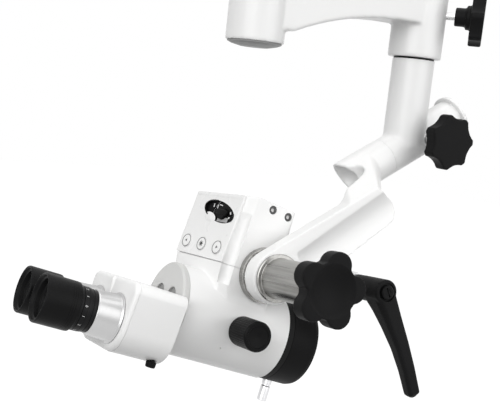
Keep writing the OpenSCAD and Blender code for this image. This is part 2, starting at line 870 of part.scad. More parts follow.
module focus_pin() {
    color(steel) at_axis() translate([pin_u, 0, 0]) difference() {
        rod_z(pin_d / 2, -focus_r - pin_l, -focus_r + pin_seat);
        for (i = [0 : pin_flutes - 1]) rotate([0, 0, 360 * i / pin_flutes]) translate([pin_d / 2, 0, 0])
            rod_z(pin_flute_r, -focus_r - pin_l - cut, -focus_r - pin_d / 2);
    }
}

module objective_cell() {
    color("#2a2a2c") at_axis() ring_x(cell_r, objective_d / 2, cell_u, cell_u + cell_t);
}

module objective_lens() {
    color("#cfe3ef") at_axis() rod_x(objective_d / 2, cell_u + lens_t, cell_u + 2 * lens_t);
}

// Section of the binocular housing, flat on top and narrower at the foot
module bino_outline(inset) {
    hull() for (side = [-1, 1]) {
        translate([side * bino_low_half, -eye_drop - bino_r + bino_low_r]) circle(r = bino_low_r - inset);
        translate([side * (bino_half - bino_corner_r), -eye_drop + bino_r - bino_corner_r])
            circle(r = bino_corner_r - inset);
    }
}

module bino_block(inset, front, back) {
    translate([-front, 0, 0]) rotate([90, 0, 90]) linear_extrude(height = front - back) bino_outline(inset);
}

module bino_housing() {
    color(white) at_head() difference() {
        union() {
            bino_block(0, bino_front, bino_back);
            translate([0, 0, dovetail_w])
                rod_x(dovetail_r - run_fit, -bino_back - cut, -flange_face + flange_t - gap);
        }
        bino_block(bino_wall, bino_front - bino_wall, bino_back + bino_wall);
        translate([0, 0, dovetail_w])
            rod_x(dovetail_r - dovetail_wall, -bino_back - 2 * bino_wall, -body_front);
        for (side = [-1, 1]) translate([0, side * eye_half, -eye_drop - eye_low])
            stadium_x(tube_r + gap, pd_out, -bino_front - cut, -bino_front + 2 * bino_wall);
        translate([-lock_u, lock_y, lock_w]) rod_z(lock_stud_r + run_fit, 0, lock_stud_l + cut);
    }
}

module bino_prisms() {
    spot_share = 0.65;
    color("#d8ecf5") at_head()
        for (side = [-1, 1]) translate([-bino_back - bino_l / 2, side * prism * spot_share, -eye_drop])
            block(-prism / 2, prism / 2, -prism / 2, prism / 2,
                -bino_r + bino_wall, -bino_r + bino_wall + prism);
}

module lock_knob() {
    color(black) at_head() translate([-lock_u, lock_y, lock_w]) {
        rod_z(lock_r, -lock_l, 0);
        rod_z(lock_stud_r, 0, lock_stud_l);
    }
}

module collar(side) {
    back = bino_front + gap;
    color(steel) at_eye(side) difference() {
        union() {
            translate([-back, 0, 0]) rotate([0, -90, 0])
                cylinder(r1 = collar_r, r2 = collar_r - collar_taper, h = collar_l);
            rod_x(tube_r, -back, -bino_front + 3 * bino_wall);
        }
        rod_x(eye_bore_r, -collar_tip - cut, 0);
    }
}

module eyepiece(side) {
    seat_end = collar_tip + diopter_l + 2 * gap;
    cup_start = eyepiece_end - eyecup_l + eyecup_over;
    color(black) at_eye(side) {
        ring_x(diopter_seat_r, eye_bore_r, -seat_end, -collar_tip);
        ring_x(eyepiece_r, eye_bore_r, -cup_start, -seat_end);
        ring_x(eye_tube_r, eye_bore_r, -eyepiece_end, -cup_start);
    }
}

module diopter(side) {
    color(black) at_eye(side)
        ring_x(eyepiece_r, diopter_seat_r + run_fit, -collar_tip - gap - diopter_l, -collar_tip - gap);
}

module eyecup(side) {
    cup_end = eyepiece_end + eyecup_over;
    color(black) at_eye(side) {
        ring_x(eyecup_r, eye_tube_r + run_fit, -cup_end + eyecup_lip, -cup_end + eyecup_l - gap);
        ring_x(eyecup_r, eye_bore_r, -cup_end, -cup_end + eyecup_lip);
    }
}

module collar_near() { collar(-1); }
module collar_far() { collar(1); }
module eyepiece_near() { eyepiece(-1); }
module eyepiece_far() { eyepiece(1); }
module diopter_near() { diopter(-1); }
module diopter_far() { diopter(1); }
module eyecup_near() { eyecup(-1); }
module eyecup_far() { eyecup(1); }

link_casting();
link_bottom_cap();
link_top_cap();
mount_bush();
post_bushes();
top_clamp_knob();
top_clamp_stud();
post_casting();
post_spindle();
spindle_nut();
thrust_washer();
sleeve_bushes();
side_clamp_knob();
side_clamp_stud();
yoke_arm();
arm_axle();
sleeve_end_cap();
hub_bush();
hub_sleeve();
spring_stack();
tilt_shaft();
tilt_ring();
carriage_rail();
tilt_knob();
clamp_lever();
lever_stud();
lever_button();
main_housing();
lamp_cover();
control_panel();
chassis();
bino_flange();
led_module();
collector_lens();
light_mirror();
objective_barrel();
body_screws();
button_far();
button_middle();
button_near();
brightness_dial();
changer_drum();
changer_knobs();
changer_lenses();
focus_ring();
focus_pin();
objective_cell();
objective_lens();
bino_housing();
bino_prisms();
lock_knob();
collar_near();
eyepiece_near();
diopter_near();
eyecup_near();
collar_far();
eyepiece_far();
diopter_far();
eyecup_far();
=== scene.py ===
"""Surgical microscope head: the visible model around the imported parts.

Lengths are in millimetres inside each piece's own frame. seat() then puts the
finished piece in place, in metres, with its place kept in its mesh.
"""
import math

import bpy
from mathutils import Matrix, Vector


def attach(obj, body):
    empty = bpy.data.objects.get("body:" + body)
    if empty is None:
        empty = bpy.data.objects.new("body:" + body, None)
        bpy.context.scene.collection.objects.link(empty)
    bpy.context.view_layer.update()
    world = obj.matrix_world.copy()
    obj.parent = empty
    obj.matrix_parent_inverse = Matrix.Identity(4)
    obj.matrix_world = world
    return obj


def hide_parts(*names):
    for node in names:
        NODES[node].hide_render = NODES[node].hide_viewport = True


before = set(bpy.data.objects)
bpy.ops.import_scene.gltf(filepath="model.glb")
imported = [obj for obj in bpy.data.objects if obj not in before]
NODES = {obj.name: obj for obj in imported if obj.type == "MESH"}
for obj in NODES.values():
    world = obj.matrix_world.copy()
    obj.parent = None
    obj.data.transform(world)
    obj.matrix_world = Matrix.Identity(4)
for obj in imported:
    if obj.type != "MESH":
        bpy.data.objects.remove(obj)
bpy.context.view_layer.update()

# Main sizes of the instrument, as in the part's source
LINK_REACH = 206
BOSS_R = 29
BOSS_H = 98
POST_BOSS_H = 90
POST_R = 23
POST_DROP = 187.3
SLEEVE_RISE = 29.3
SLEEVE_R = 21
SLEEVE_UP = 73
SLEEVE_DOWN = 29
ARM_TURN = -7.5
HUB_REACH = 232.6
HUB_DROP = 30
HEAD_TILT = 16
LEVER_TURN = 35
PLATE_IN = 44
PLATE_OUT = 64
AXIS_DROP = 57
BODY_R = 44
FLANGE_FACE = 79
BINO_FRONT = 132.8
PANEL_FRONT = 51.1
PANEL_YAW = 12.4
PANEL_LEAN = 3.8
LEAN_W = 61
NEAR_EDGE = -33
EYE_HALF = 28.5
BINO_DROP = 76
EYE_DROP = 79.5
ROOF = 71.3


def turn(axis, degrees):
    return Matrix.Rotation(math.radians(degrees), 4, axis)


def shift(x, y, z):
    return Matrix.Translation((x, y, z))


def spoke(reach, angle):
    """The place at this distance from the Z axis, at this angle about it."""
    return shift(reach * math.cos(angle), reach * math.sin(angle), 0)


# Frames of the pieces, each carried by the one before
LINK = Matrix.Scale(0.001, 4)
POST = LINK @ shift(LINK_REACH, 0, 0)
CLAMP_SPOT = shift(0, 0, -42) @ turn("Z", -45)
TOP_CLAMP = POST @ CLAMP_SPOT
SLEEVE = POST @ shift(0, 0, -POST_DROP) @ turn("Y", -SLEEVE_RISE)
SIDE_CLAMP = SLEEVE @ shift(22, 0, 0) @ turn("Z", -90)
ARM = SLEEVE @ turn("X", ARM_TURN)
HUB = ARM @ shift(-HUB_REACH, 0, -HUB_DROP) @ turn("Y", SLEEVE_RISE)
HEAD = HUB @ turn("Y", HEAD_TILT)
AXIS = HEAD @ shift(0, 0, -AXIS_DROP)
PANEL_TURN = turn("Z", PANEL_YAW) @ turn("Y", PANEL_LEAN)
PANEL = HEAD @ shift(-PANEL_FRONT, 0, LEAN_W) @ PANEL_TURN @ shift(0, 0, -LEAN_W)
CHANGER = HEAD @ shift(-11, 0, -58)
LEVER = HEAD @ shift(103, 0, 19)
BINO = HEAD @ shift(0, 0, -BINO_DROP)
EYES = HEAD @ shift(0, 0, -EYE_DROP)
# A turned piece is modelled about Z; these lay it along X or Y
ALONG_X = turn("Y", 90)
ALONG_Y = turn("X", -90)
TOWARD_US = turn("X", 90)


# Modelling tools
HERE = Matrix.Identity(4)


def clear():
    if bpy.context.object and bpy.context.object.mode != "OBJECT":
        bpy.ops.object.mode_set(mode="OBJECT")
    bpy.ops.object.select_all(action="DESELECT")


def only(obj):
    clear()
    obj.select_set(True)
    bpy.context.view_layer.objects.active = obj
    return obj


def edit(obj):
    """Enters edit mode with all of the piece selected; done() leaves it."""
    only(obj)
    bpy.ops.object.mode_set(mode="EDIT")
    bpy.ops.mesh.select_all(action="SELECT")


def done(obj):
    bpy.ops.object.mode_set(mode="OBJECT")
    return obj


def modifier(obj, kind, **settings):
    only(obj)
    mod = obj.modifiers.new(kind.title(), kind)
    for key, value in settings.items():
        setattr(mod, key, value)
    bpy.ops.object.modifier_apply(modifier=mod.name)
    return obj


def apply_place(obj, matrix=HERE):
    only(obj)
    obj.matrix_world = matrix @ obj.matrix_world
    bpy.ops.object.transform_apply(location=True, rotation=True, scale=True)
    return obj


def outward(obj):
    edit(obj)
    bpy.ops.mesh.normals_make_consistent(inside=False)
    return done(obj)


def rod(r, low, high, sides=96):
    bpy.ops.mesh.primitive_cylinder_add(vertices=sides, radius=r, depth=high - low,
                                        location=(0, 0, (low + high) / 2))
    obj = bpy.context.object
    return apply_place(obj)


def rod_x(r, low, high, y=0, z=0, sides=96):
    return apply_place(rod(r, low, high, sides), shift(0, y, z) @ ALONG_X)


def rod_y(r, low, high, x=0, z=0, sides=96):
    return apply_place(rod(r, low, high, sides), shift(x, 0, z) @ ALONG_Y)


def block(x0, x1, y0, y1, z0, z1):
    bpy.ops.mesh.primitive_cube_add(size=1, location=((x0 + x1) / 2, (y0 + y1) / 2, (z0 + z1) / 2))
    obj = bpy.context.object
    obj.scale = (x1 - x0, y1 - y0, z1 - z0)
    return apply_place(obj)


def ball(r, x=0, y=0, z=0):
    bpy.ops.mesh.primitive_uv_sphere_add(segments=48, ring_count=24, radius=r, location=(x, y, z))
    return apply_place(bpy.context.object)


def slab(outline, low, high, matrix=HERE):
    """A flat outline in X and Y, raised from low to high, then laid by the matrix."""
    bpy.ops.mesh.primitive_circle_add(vertices=len(outline), radius=1, fill_type="NGON")
    obj = bpy.context.object
    for vert, (x, y) in zip(obj.data.vertices, outline):
        vert.co = (x, y, low)
    edit(obj)
    bpy.ops.mesh.extrude_region_move(TRANSFORM_OT_translate={"value": (0, 0, high - low)})
    done(obj)
    outward(obj)
    return apply_place(obj, matrix)


def rounded(points, radius, steps=4):
    """An outline with its corners rounded; a point may state its own radius."""
    longest, nearly_flat = 0.48, math.radians(87)
    out = []
    count = len(points)
    for i, point in enumerate(points):
        r = point[2] if len(point) > 2 else radius
        p = Vector(point[:2])
        a = Vector(points[i - 1][:2]) - p
        b = Vector(points[(i + 1) % count][:2]) - p
        if r <= 0 or a.length < 1e-6 or b.length < 1e-6:
            out.append((p.x, p.y))
            continue
        half = a.angle(b) / 2
        if half > nearly_flat:
            out.append((p.x, p.y))
            continue
        reach = min(r / math.tan(half), a.length * longest, b.length * longest)
        start = p + a.normalized() * reach
        end = p + b.normalized() * reach
        for k in range(steps + 1):
            t = k / steps
            q = start * (1 - t) ** 2 + p * 2 * t * (1 - t) + end * t * t
            out.append((q.x, q.y))
    return out


def turned(profile, soft=0.5, steps=96):
    """A lathe piece about Z: profile lists (radius, height) around the section."""
    outline = rounded(profile, soft, 3)
    bpy.ops.mesh.primitive_circle_add(vertices=len(outline), radius=1)
    obj = bpy.context.object
    for vert, (r, z) in zip(obj.data.vertices, outline):
        vert.co = (max(r, 0), 0, z)
    edit(obj)
    bpy.ops.mesh.spin(steps=steps, angle=2 * math.pi, center=(0, 0, 0), axis=(0, 0, 1))
    bpy.ops.mesh.select_all(action="SELECT")
    bpy.ops.mesh.remove_doubles(threshold=0.0005)
    bpy.ops.mesh.dissolve_degenerate(threshold=0.0005)
    bpy.ops.mesh.select_all(action="SELECT")
    bpy.ops.mesh.normals_make_consistent(inside=False)
    return done(obj)


def joined(parts):
    clear()
    for part in parts:
        part.select_set(True)
    bpy.context.view_layer.objects.active = parts[0]
    if len(parts) > 1:
        bpy.ops.object.join()
    return parts[0]


def cut(obj, tools, operation="DIFFERENCE"):
    for tool in tools:
        modifier(obj, "BOOLEAN", operation=operation, solver="EXACT", object=tool)
        bpy.data.objects.remove(tool)
    return obj


def cast(parts, voxel=1.2, smooth=8, cuts=(), hollows=()):
    """Parts flowed together as one casting with soft hollows and corners, then machined by the cuts."""
    obj = joined(list(parts))
    modifier(obj, "REMESH", mode="VOXEL", voxel_size=voxel, adaptivity=0.0)
    if hollows:
        cut(obj, list(hollows))
        modifier(obj, "REMESH", mode="VOXEL", voxel_size=voxel, adaptivity=0.0)
    modifier(obj, "SMOOTH", factor=0.5, iterations=smooth)
    return cut(obj, list(cuts))


def stretched(obj, x, y, z):
    """A piece drawn about its own middle, stretched along the three axes."""
    return apply_place(obj, Matrix.Diagonal((x, y, z, 1)))


def bevelled(obj, width, segments):
    return modifier(obj, "BEVEL", width=width, segments=segments, limit_method="ANGLE",
                    angle_limit=math.radians(30))


def hulled(parts):
    obj = joined(list(parts))
    edit(obj)
    bpy.ops.mesh.convex_hull()
    return done(obj)


def copy_of(obj):
    twin = obj.copy()
    twin.data = obj.data.copy()
    bpy.context.collection.objects.link(twin)
    return twin


def seat(obj, name, matrix, body, look, replaces=(), smooth_angle=35):
    """Puts a finished piece in place, and says its body, its look and the parts it replaces."""
    apply_place(obj, matrix)
    obj.name = name
    obj.data.name = name
    only(obj)
    bpy.ops.object.shade_smooth_by_angle(angle=math.radians(smooth_angle))
    obj.data.materials.clear()
    obj.data.materials.append(look)
    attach(obj, body)
    if replaces:
        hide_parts(*replaces)
    return obj


# Materials
def preset(node, values):
    """Sets a node's unlinked inputs from a table of labels and values."""
    for label, value in values.items():
        node.inputs[label].default_value = value


def group(name, scales):
    """A group that takes a vector and named scales, and gives a surface's height, tone and roughness."""
    tree = bpy.data.node_groups.new(name, "ShaderNodeTree")
    tree.interface.new_socket(name="Vector", in_out="INPUT", socket_type="NodeSocketVector")
    for label, value in scales:
        socket = tree.interface.new_socket(name=label, in_out="INPUT", socket_type="NodeSocketFloat")
        socket.default_value = value
    for label in ("Height", "Tone", "Rough"):
        tree.interface.new_socket(name=label, in_out="OUTPUT", socket_type="NodeSocketFloat")
    return tree, tree.nodes.new("NodeGroupInput"), tree.nodes.new("NodeGroupOutput")


def noise(tree, scale, detail=4.0, vector=None):
    node = tree.nodes.new("ShaderNodeTexNoise")
    preset(node, {"Scale": scale, "Detail": detail})
    if vector is not None:
        tree.links.new(vector, node.inputs["Vector"])
    return node


def spread(tree, source, low, high):
    node = tree.nodes.new("ShaderNodeMapRange")
    preset(node, {"From Min": 0.3, "From Max": 0.7, "To Min": low, "To Max": high})
    tree.links.new(source, node.inputs["Value"])
    return node.outputs["Result"]


def math_node(tree, operation, a, b=None):
    node = tree.nodes.new("ShaderNodeMath")
    node.operation = operation
    for socket, value in zip(node.inputs, (a, b)):
        if value is None:
            continue
        if isinstance(value, (int, float)):
            socket.default_value = value
        else:
            tree.links.new(value, socket)
    return node.outputs[0]


def make_speckle_group():
    """Fine skin of a coated or moulded surface, with slow tone changes."""
    tree, ins, outs = group("fine_skin", [("Grain Scale", 900.0), ("Tone Scale", 14.0)])
    grain = noise(tree, 900, 3.0, ins.outputs["Vector"])
    tree.links.new(ins.outputs["Grain Scale"], grain.inputs["Scale"])
    slow = noise(tree, 14, 3.0, ins.outputs["Vector"])
    tree.links.new(ins.outputs["Tone Scale"], slow.inputs["Scale"])
    cloud = noise(tree, 60, 5.0, ins.outputs["Vector"])
    tree.links.new(grain.outputs["Fac"], outs.inputs["Height"])
    tree.links.new(slow.outputs["Fac"], outs.inputs["Tone"])
    mixed = math_node(tree, "ADD", math_node(tree, "MULTIPLY", slow.outputs["Fac"], 0.5),
                      math_node(tree, "MULTIPLY", cloud.outputs["Fac"], 0.5))
    tree.links.new(mixed, outs.inputs["Rough"])
    return tree


def make_lathe_group():
    """Fine rings that a lathe leaves about the X axis of the given frame."""
    tree, ins, outs = group("lathe_rings", [("Ring Scale", 2400.0)])
    parts = tree.nodes.new("ShaderNodeSeparateXYZ")
    tree.links.new(ins.outputs["Vector"], parts.inputs["Vector"])
    across = math_node(tree, "SQRT", math_node(
        tree, "ADD", math_node(tree, "MULTIPLY", parts.outputs["Y"], parts.outputs["Y"]),
        math_node(tree, "MULTIPLY", parts.outputs["Z"], parts.outputs["Z"])))
    along = math_node(tree, "ADD", parts.outputs["X"], across)
    ring_pos = math_node(tree, "MULTIPLY", along, ins.outputs["Ring Scale"])
    around = math_node(tree, "ARCTAN2", parts.outputs["Y"], parts.outputs["Z"])
    vector = tree.nodes.new("ShaderNodeCombineXYZ")
    tree.links.new(ring_pos, vector.inputs["X"])
    tree.links.new(math_node(tree, "MULTIPLY", around, 2.5), vector.inputs["Y"])
    rings = noise(tree, 1.0, 2.0, vector.outputs["Vector"])
    tree.links.new(rings.outputs["Fac"], outs.inputs["Height"])
    slow = noise(tree, 40.0, 3.0, ins.outputs["Vector"])
    tree.links.new(slow.outputs["Fac"], outs.inputs["Tone"])
    tree.links.new(rings.outputs["Fac"], outs.inputs["Rough"])
    return tree


def make_brushed_group():
    """Lengthwise streaks that a brush leaves along the X axis of the given frame."""
    tree, ins, outs = group("brushed_streaks", [("Streak Scale", 900.0)])
    longer = tree.nodes.new("ShaderNodeVectorMath")
    longer.operation = "MULTIPLY"
    longer.inputs[1].default_value = (0.03, 1.0, 1.0)
    tree.links.new(ins.outputs["Vector"], longer.inputs[0])
    fine = noise(tree, 900, 3.0, longer.outputs["Vector"])
    tree.links.new(ins.outputs["Streak Scale"], fine.inputs["Scale"])
    wide = noise(tree, 170, 2.0, longer.outputs["Vector"])
    tree.links.new(fine.outputs["Fac"], outs.inputs["Height"])
    tree.links.new(math_node(tree, "ADD", math_node(tree, "MULTIPLY", wide.outputs["Fac"], 0.7),
                             math_node(tree, "MULTIPLY", fine.outputs["Fac"], 0.3)), outs.inputs["Tone"])
    tree.links.new(wide.outputs["Fac"], outs.inputs["Rough"])
    return tree


FINE_SKIN = make_speckle_group()
BRUSHED = make_brushed_group()
LATHE_RINGS = make_lathe_group()


def material(name, colour, roughness, skin=FINE_SKIN, grain=900.0, bump=0.05, tone=0.04,
             rough_spread=0.06, metallic=0.0, turning=None, coat=0.0, specular=0.5, anisotropic=0.0):
    mat = bpy.data.materials.new(name)
    mat.use_nodes = True
    tree = mat.node_tree
    shader = tree.nodes["Principled BSDF"]
    place = tree.nodes.new("ShaderNodeTexCoord")
    vector = place.outputs["Object"]
    if turning is not None:
        mapping = tree.nodes.new("ShaderNodeMapping")
        mapping.vector_type = "TEXTURE"
        preset(mapping, {"Location": turning.to_translation(), "Rotation": turning.to_euler()})
        tree.links.new(vector, mapping.inputs["Vector"])
        vector = mapping.outputs["Vector"]
    look = tree.nodes.new("ShaderNodeGroup")
    look.node_tree = skin
    tree.links.new(vector, look.inputs["Vector"])
    look.inputs[1].default_value = grain
    ramp = tree.nodes.new("ShaderNodeMix")
    ramp.data_type = "RGBA"
    dark = [c * (1 - tone) for c in colour]
    preset(ramp, {"A": (*dark, 1), "B": (*colour, 1)})
    tree.links.new(spread(tree, look.outputs["Tone"], 0.0, 1.0), ramp.inputs["Factor"])
    tree.links.new(ramp.outputs["Result"], shader.inputs["Base Color"])
    tree.links.new(spread(tree, look.outputs["Rough"], roughness - rough_spread, roughness + rough_spread),
                   shader.inputs["Roughness"])
    preset(shader, {"Metallic": metallic, "Specular IOR Level": specular, "Coat Weight": coat,
                    "Anisotropic": anisotropic})
    if bump:
        relief = tree.nodes.new("ShaderNodeBump")
        preset(relief, {"Strength": bump, "Distance": 0.0002})
        tree.links.new(look.outputs["Height"], relief.inputs["Height"])
        tree.links.new(relief.outputs["Normal"], shader.inputs["Normal"])
    return mat


def unit(matrix):
    """The frame without its millimetre scale, for a texture's mapping."""
    spot, spin, _ = matrix.decompose()
    return Matrix.LocRotScale(spot, spin, Vector((1, 1, 1)))


WHITE = material("white_coating", (0.87, 0.87, 0.865), 0.33, grain=1400.0, bump=0.03, tone=0.012, coat=0.1)
WHITE_PANEL = material("panel_coating", (0.86, 0.86, 0.855), 0.28, grain=1600.0, bump=0.02, tone=0.01)
GRAY = material("gray_coating", (0.60, 0.60, 0.59), 0.4, grain=1200.0)
CAP_GRAY = material("cap_gray", (0.30, 0.30, 0.30), 0.45, grain=1000.0, bump=0.08, tone=0.08)
BLACK = material("black_moulding", (0.006, 0.006, 0.0063), 0.36, grain=1500.0, bump=0.10, tone=0.25,
                 rough_spread=0.05, specular=0.07)
BLACK_SOFT = material("black_matte", (0.008, 0.008, 0.0083), 0.48, grain=1300.0, bump=0.15, tone=0.25,
                      specular=0.07)
BLACK_ANODIZED = material("black_anodized", (0.010, 0.010, 0.0105), 0.34, skin=LATHE_RINGS, grain=3000.0,
                          bump=0.05, tone=0.2, turning=unit(EYES), rough_spread=0.05, specular=0.10)
BLACK_INNER = material("black_inner", (0.006, 0.006, 0.006), 0.6, bump=0.1, tone=0.3, specular=0.15)
RUBBER = material("eyecup_rubber", (0.007, 0.007, 0.0073), 0.42, grain=1100.0, bump=0.12, tone=0.3,
                  specular=0.08)
STEEL = material("brushed_steel", (0.42, 0.415, 0.40), 0.30, skin=BRUSHED, grain=700.0, bump=0.04,
                 tone=0.5, metallic=1.0, turning=unit(HUB @ turn("Z", 90)), rough_spread=0.08,
                 anisotropic=0.3)
STEEL_PLAIN = material("plain_steel", (0.55, 0.55, 0.55), 0.28, grain=1500.0, tone=0.1, metallic=1.0)
ALUMINIUM = material("turned_aluminium", (0.50, 0.50, 0.50), 0.34, skin=LATHE_RINGS, grain=2600.0, bump=0.08,
                     tone=0.05, metallic=1.0, turning=unit(EYES), rough_spread=0.05, anisotropic=0.4)
ALUMINIUM_PLAIN = material("milled_aluminium", (0.74, 0.74, 0.75), 0.36, grain=1700.0, bump=0.06, tone=0.07,
                           metallic=1.0)
BRONZE = material("bearing_bronze", (0.52, 0.36, 0.17), 0.35, grain=1400.0, bump=0.06, tone=0.15,
                  metallic=1.0)
# White print on the diopter ring and the dial's index, also used for the painted highlights beside the
# dial's grip
WHITE_PRINT_AND_HIGHLIGHT = material("white_print_and_painted_highlight", (0.78, 0.78, 0.78), 0.5, bump=0.02, tone=0.03)
PRINT_GRAY = material("gray_print", (0.06, 0.06, 0.06), 0.5, bump=0.02, tone=0.05)
# Painted reflection: light gray that stands in for the pale floor reflected in the dial's face
PAINTED_REFLECTION_GRAY = material("dial_painted_reflection_gray", (0.42, 0.42, 0.42), 0.35, bump=0.02, tone=0.05)
STEEL_DARK = material("port_gray", (0.30, 0.30, 0.295), 0.45, grain=1500.0, tone=0.1)
BLACK_STEEL = material("blackened_steel", (0.05, 0.05, 0.05), 0.38, grain=1500.0, tone=0.2)


def glass(name, tint):
    mat = material(name, tint, 0.02, bump=0.0, tone=0.02, rough_spread=0.01)
    shader = mat.node_tree.nodes["Principled BSDF"]
    preset(shader, {"Transmission Weight": 1.0, "IOR": 1.5, "Coat Weight": 0.3})
    return mat


LENS = glass("coated_glass", (0.80, 0.86, 0.92))
OCULAR = material("ocular_glass", (0.008, 0.009, 0.012), 0.12, bump=0.0, tone=0.02, rough_spread=0.02,
                  specular=0.12)
MIRROR = material("front_silver", (0.85, 0.86, 0.87), 0.06, bump=0.0, tone=0.01, metallic=1.0)

NODE_LOOKS = {
    "mount_bush": BRONZE, "post_bushes": BRONZE, "sleeve_bushes": BRONZE, "hub_bush": BRONZE,
    "post_spindle": STEEL_PLAIN, "spindle_nut": STEEL_PLAIN, "thrust_washer": BLACK_SOFT,
    "arm_axle": STEEL_PLAIN, "spring_stack": STEEL_PLAIN, "tilt_shaft": STEEL_PLAIN,
    "lever_stud": STEEL_PLAIN, "top_clamp_stud": STEEL_PLAIN, "side_clamp_stud": STEEL_PLAIN,
    "carriage_rail": ALUMINIUM_PLAIN, "chassis": ALUMINIUM_PLAIN, "led_module": ALUMINIUM_PLAIN,
    "changer_drum": ALUMINIUM_PLAIN, "collector_lens": LENS, "changer_lenses": LENS, "objective_lens": LENS,
    "bino_prisms": LENS, "light_mirror": MIRROR, "objective_barrel": BLACK_INNER,
    "objective_cell": BLACK_INNER,
}
for node_name, look in NODE_LOOKS.items():
    NODES[node_name].data.materials.clear()
    NODES[node_name].data.materials.append(look)


# Link
WEB_HALF = 25
STUD_R = 4.05
OVER = 5


def web_outline():
    """Side view of the web: a flat top, and a low edge that sweeps up toward the post."""
    top, shallow, depth = -8, -55, 29
    start, reach, sweep, steps = 30, 147, 2.2, 12
    low = [(start + reach * k / steps, shallow - depth * (1 - k / steps) ** sweep) for k in range(steps + 1)]
    return [(0, top), (LINK_REACH, top), (LINK_REACH, shallow)] + low[::-1] + [(0, shallow - depth)]


def link():
    """The cast link: mount boss, web and post boss, with the gray cap below and the lid above."""
    post_end = shift(LINK_REACH, 0, 0)
    mount_bore, mount_floor = 20, -60
    hollow, hollow_top = 25.5, -70
    spindle_bore = 19
    lid_bore, lid_floor = 23, -15.2
    body = cast([
        rod(BOSS_R, -BOSS_H, 0),
        apply_place(rod(BOSS_R, -POST_BOSS_H, 0), post_end),
        slab(web_outline(), -WEB_HALF, WEB_HALF, TOWARD_US),
    ], voxel=1.5, smooth=7, cuts=[
        rod(mount_bore, mount_floor, OVER),
        rod(hollow, -BOSS_H - OVER, hollow_top),
        apply_place(rod(spindle_bore, -POST_BOSS_H - OVER, OVER), post_end),
        apply_place(rod(lid_bore, lid_floor, OVER), post_end),
        apply_place(rod_x(STUD_R, 0, 40), post_end @ CLAMP_SPOT),
    ])
    seat(body, "link_body", LINK, "link", WHITE, ["link_casting"])
    low, rim, skirt = -BOSS_H, 27, 24
    cap = turned([(0, low - 5.5), (14, low - 5), (23, low - 3), (rim, low - 1.2), (rim, low), (hollow, low),
                  (hollow, low + 5), (skirt, low + 5), (skirt, low + 1), (0, low + 1)], soft=0.6)
    seat(cap, "bottom_cap", LINK, "link", CAP_GRAY, ["link_bottom_cap"])
    lid = turned([(0, 4), (12, 3.4), (20, 1.6), (lid_bore, 0.4), (lid_bore, -3), (0, -3)], soft=0.5)
    seat(lid, "top_cap", POST, "link", WHITE, ["link_top_cap"])


# Clamp knobs
def lobed(r, lobes, valley_r, bite, low, high, first=0.0):
    """A disc with round valleys between its lobes; each valley bites this deep into the rim."""
    disc = rod(r, low, high, 144)
    valleys = []
    for i in range(lobes):
        angle = 2 * math.pi * (i + 0.5) / lobes + first
        reach = r + valley_r - bite
        place = spoke(reach, angle)
        valleys.append(apply_place(rod(valley_r, low - OVER, high + OVER, 96), place))
    return cut(disc, valleys)


def clamp_knob(name, matrix, body, node, at):
    """A seven-lobed knob on a stepped neck, whose disc starts at this distance along its stud."""
    knob_r, disc_h, valley_r, bite = 30, 14, 24, 4.4
    first = math.radians(115.7)
    neck_r, neck_h, collar_r, collar_h = 10, 17, 13, 5
    disc = lobed(knob_r, 7, valley_r, bite, at, at + disc_h, first)
    neck = rod(neck_r, at - neck_h, at + 2)
    collar = rod(collar_r, at - collar_h, at + 2)
    knob = cast([disc, neck, collar], voxel=0.9, smooth=9, cuts=[rod(4.0, at - 20, at)])
    seat(knob, name, matrix @ ALONG_X, body, BLACK_SOFT, [node])


# Post and sleeve
def post():
    """The post with the slanted sleeve at its foot, bored for the spindle, the axle and the stud."""
    drop = shift(0, 0, -POST_DROP)
    slant = drop @ turn("Y", -SLEEVE_RISE)
    post_top, spare = 85, 12
    axle_bore, spindle_bore, spindle_floor = 15, 14, -118
    body = cast([
        apply_place(rod(POST_R, 0, POST_DROP - post_top), drop),
        apply_place(rod_x(SLEEVE_R, -SLEEVE_DOWN - spare, SLEEVE_UP + spare), slant),
    ], voxel=1.3, smooth=16, cuts=[
        rod(60, -92, -60),
        apply_place(rod_x(60, -90, -SLEEVE_DOWN), slant),
        apply_place(rod_x(60, SLEEVE_UP, 150), slant),
        apply_place(rod_x(axle_bore, -SLEEVE_DOWN - 1, SLEEVE_UP + 1), slant),
        rod(spindle_bore, spindle_floor, -80),
        rod(6, -160, -80),
        apply_place(rod_x(STUD_R, 0, 24), slant @ shift(22, 0, 0) @ turn("Z", -90)),
    ])
    seat(body, "post_body", POST, "post", WHITE, ["post_casting"])
    face, inner, outer = 21.2, 4.6, 8.6
    rim = turned([(inner, face), (6.6, face), (outer, 19.6), (outer, 17), (inner, 17)], soft=0.4)
    seat(rim, "stud_rim", SIDE_CLAMP @ ALONG_X, "post", STEEL_PLAIN)
    sleeve_cap()


def sleeve_cap():
    """The cap over the sleeve's upper end, with twelve small notches in its rim."""
    end, cap_r = SLEEVE_UP + 0.3, 24.8
    notch_r, notch_reach, notches = 1.8, 25.4, 12
    cap = turned([(0, end), (cap_r, end), (cap_r, end + 4.6), (23.4, end + 5.7), (21, end + 6), (9, end + 6),
                  (7, end + 4.5), (0, end + 4.5)], soft=0.5)
    bites = []
    for k in range(notches):
        angle = 2 * math.pi * k / notches
        place = spoke(notch_reach, angle)
        bites.append(apply_place(rod(notch_r, end + 1.6, end + 8, 24), place))
    cut(cap, bites)
    seat(cap, "sleeve_cap", ARM @ ALONG_X, "arm", WHITE, ["sleeve_end_cap"])


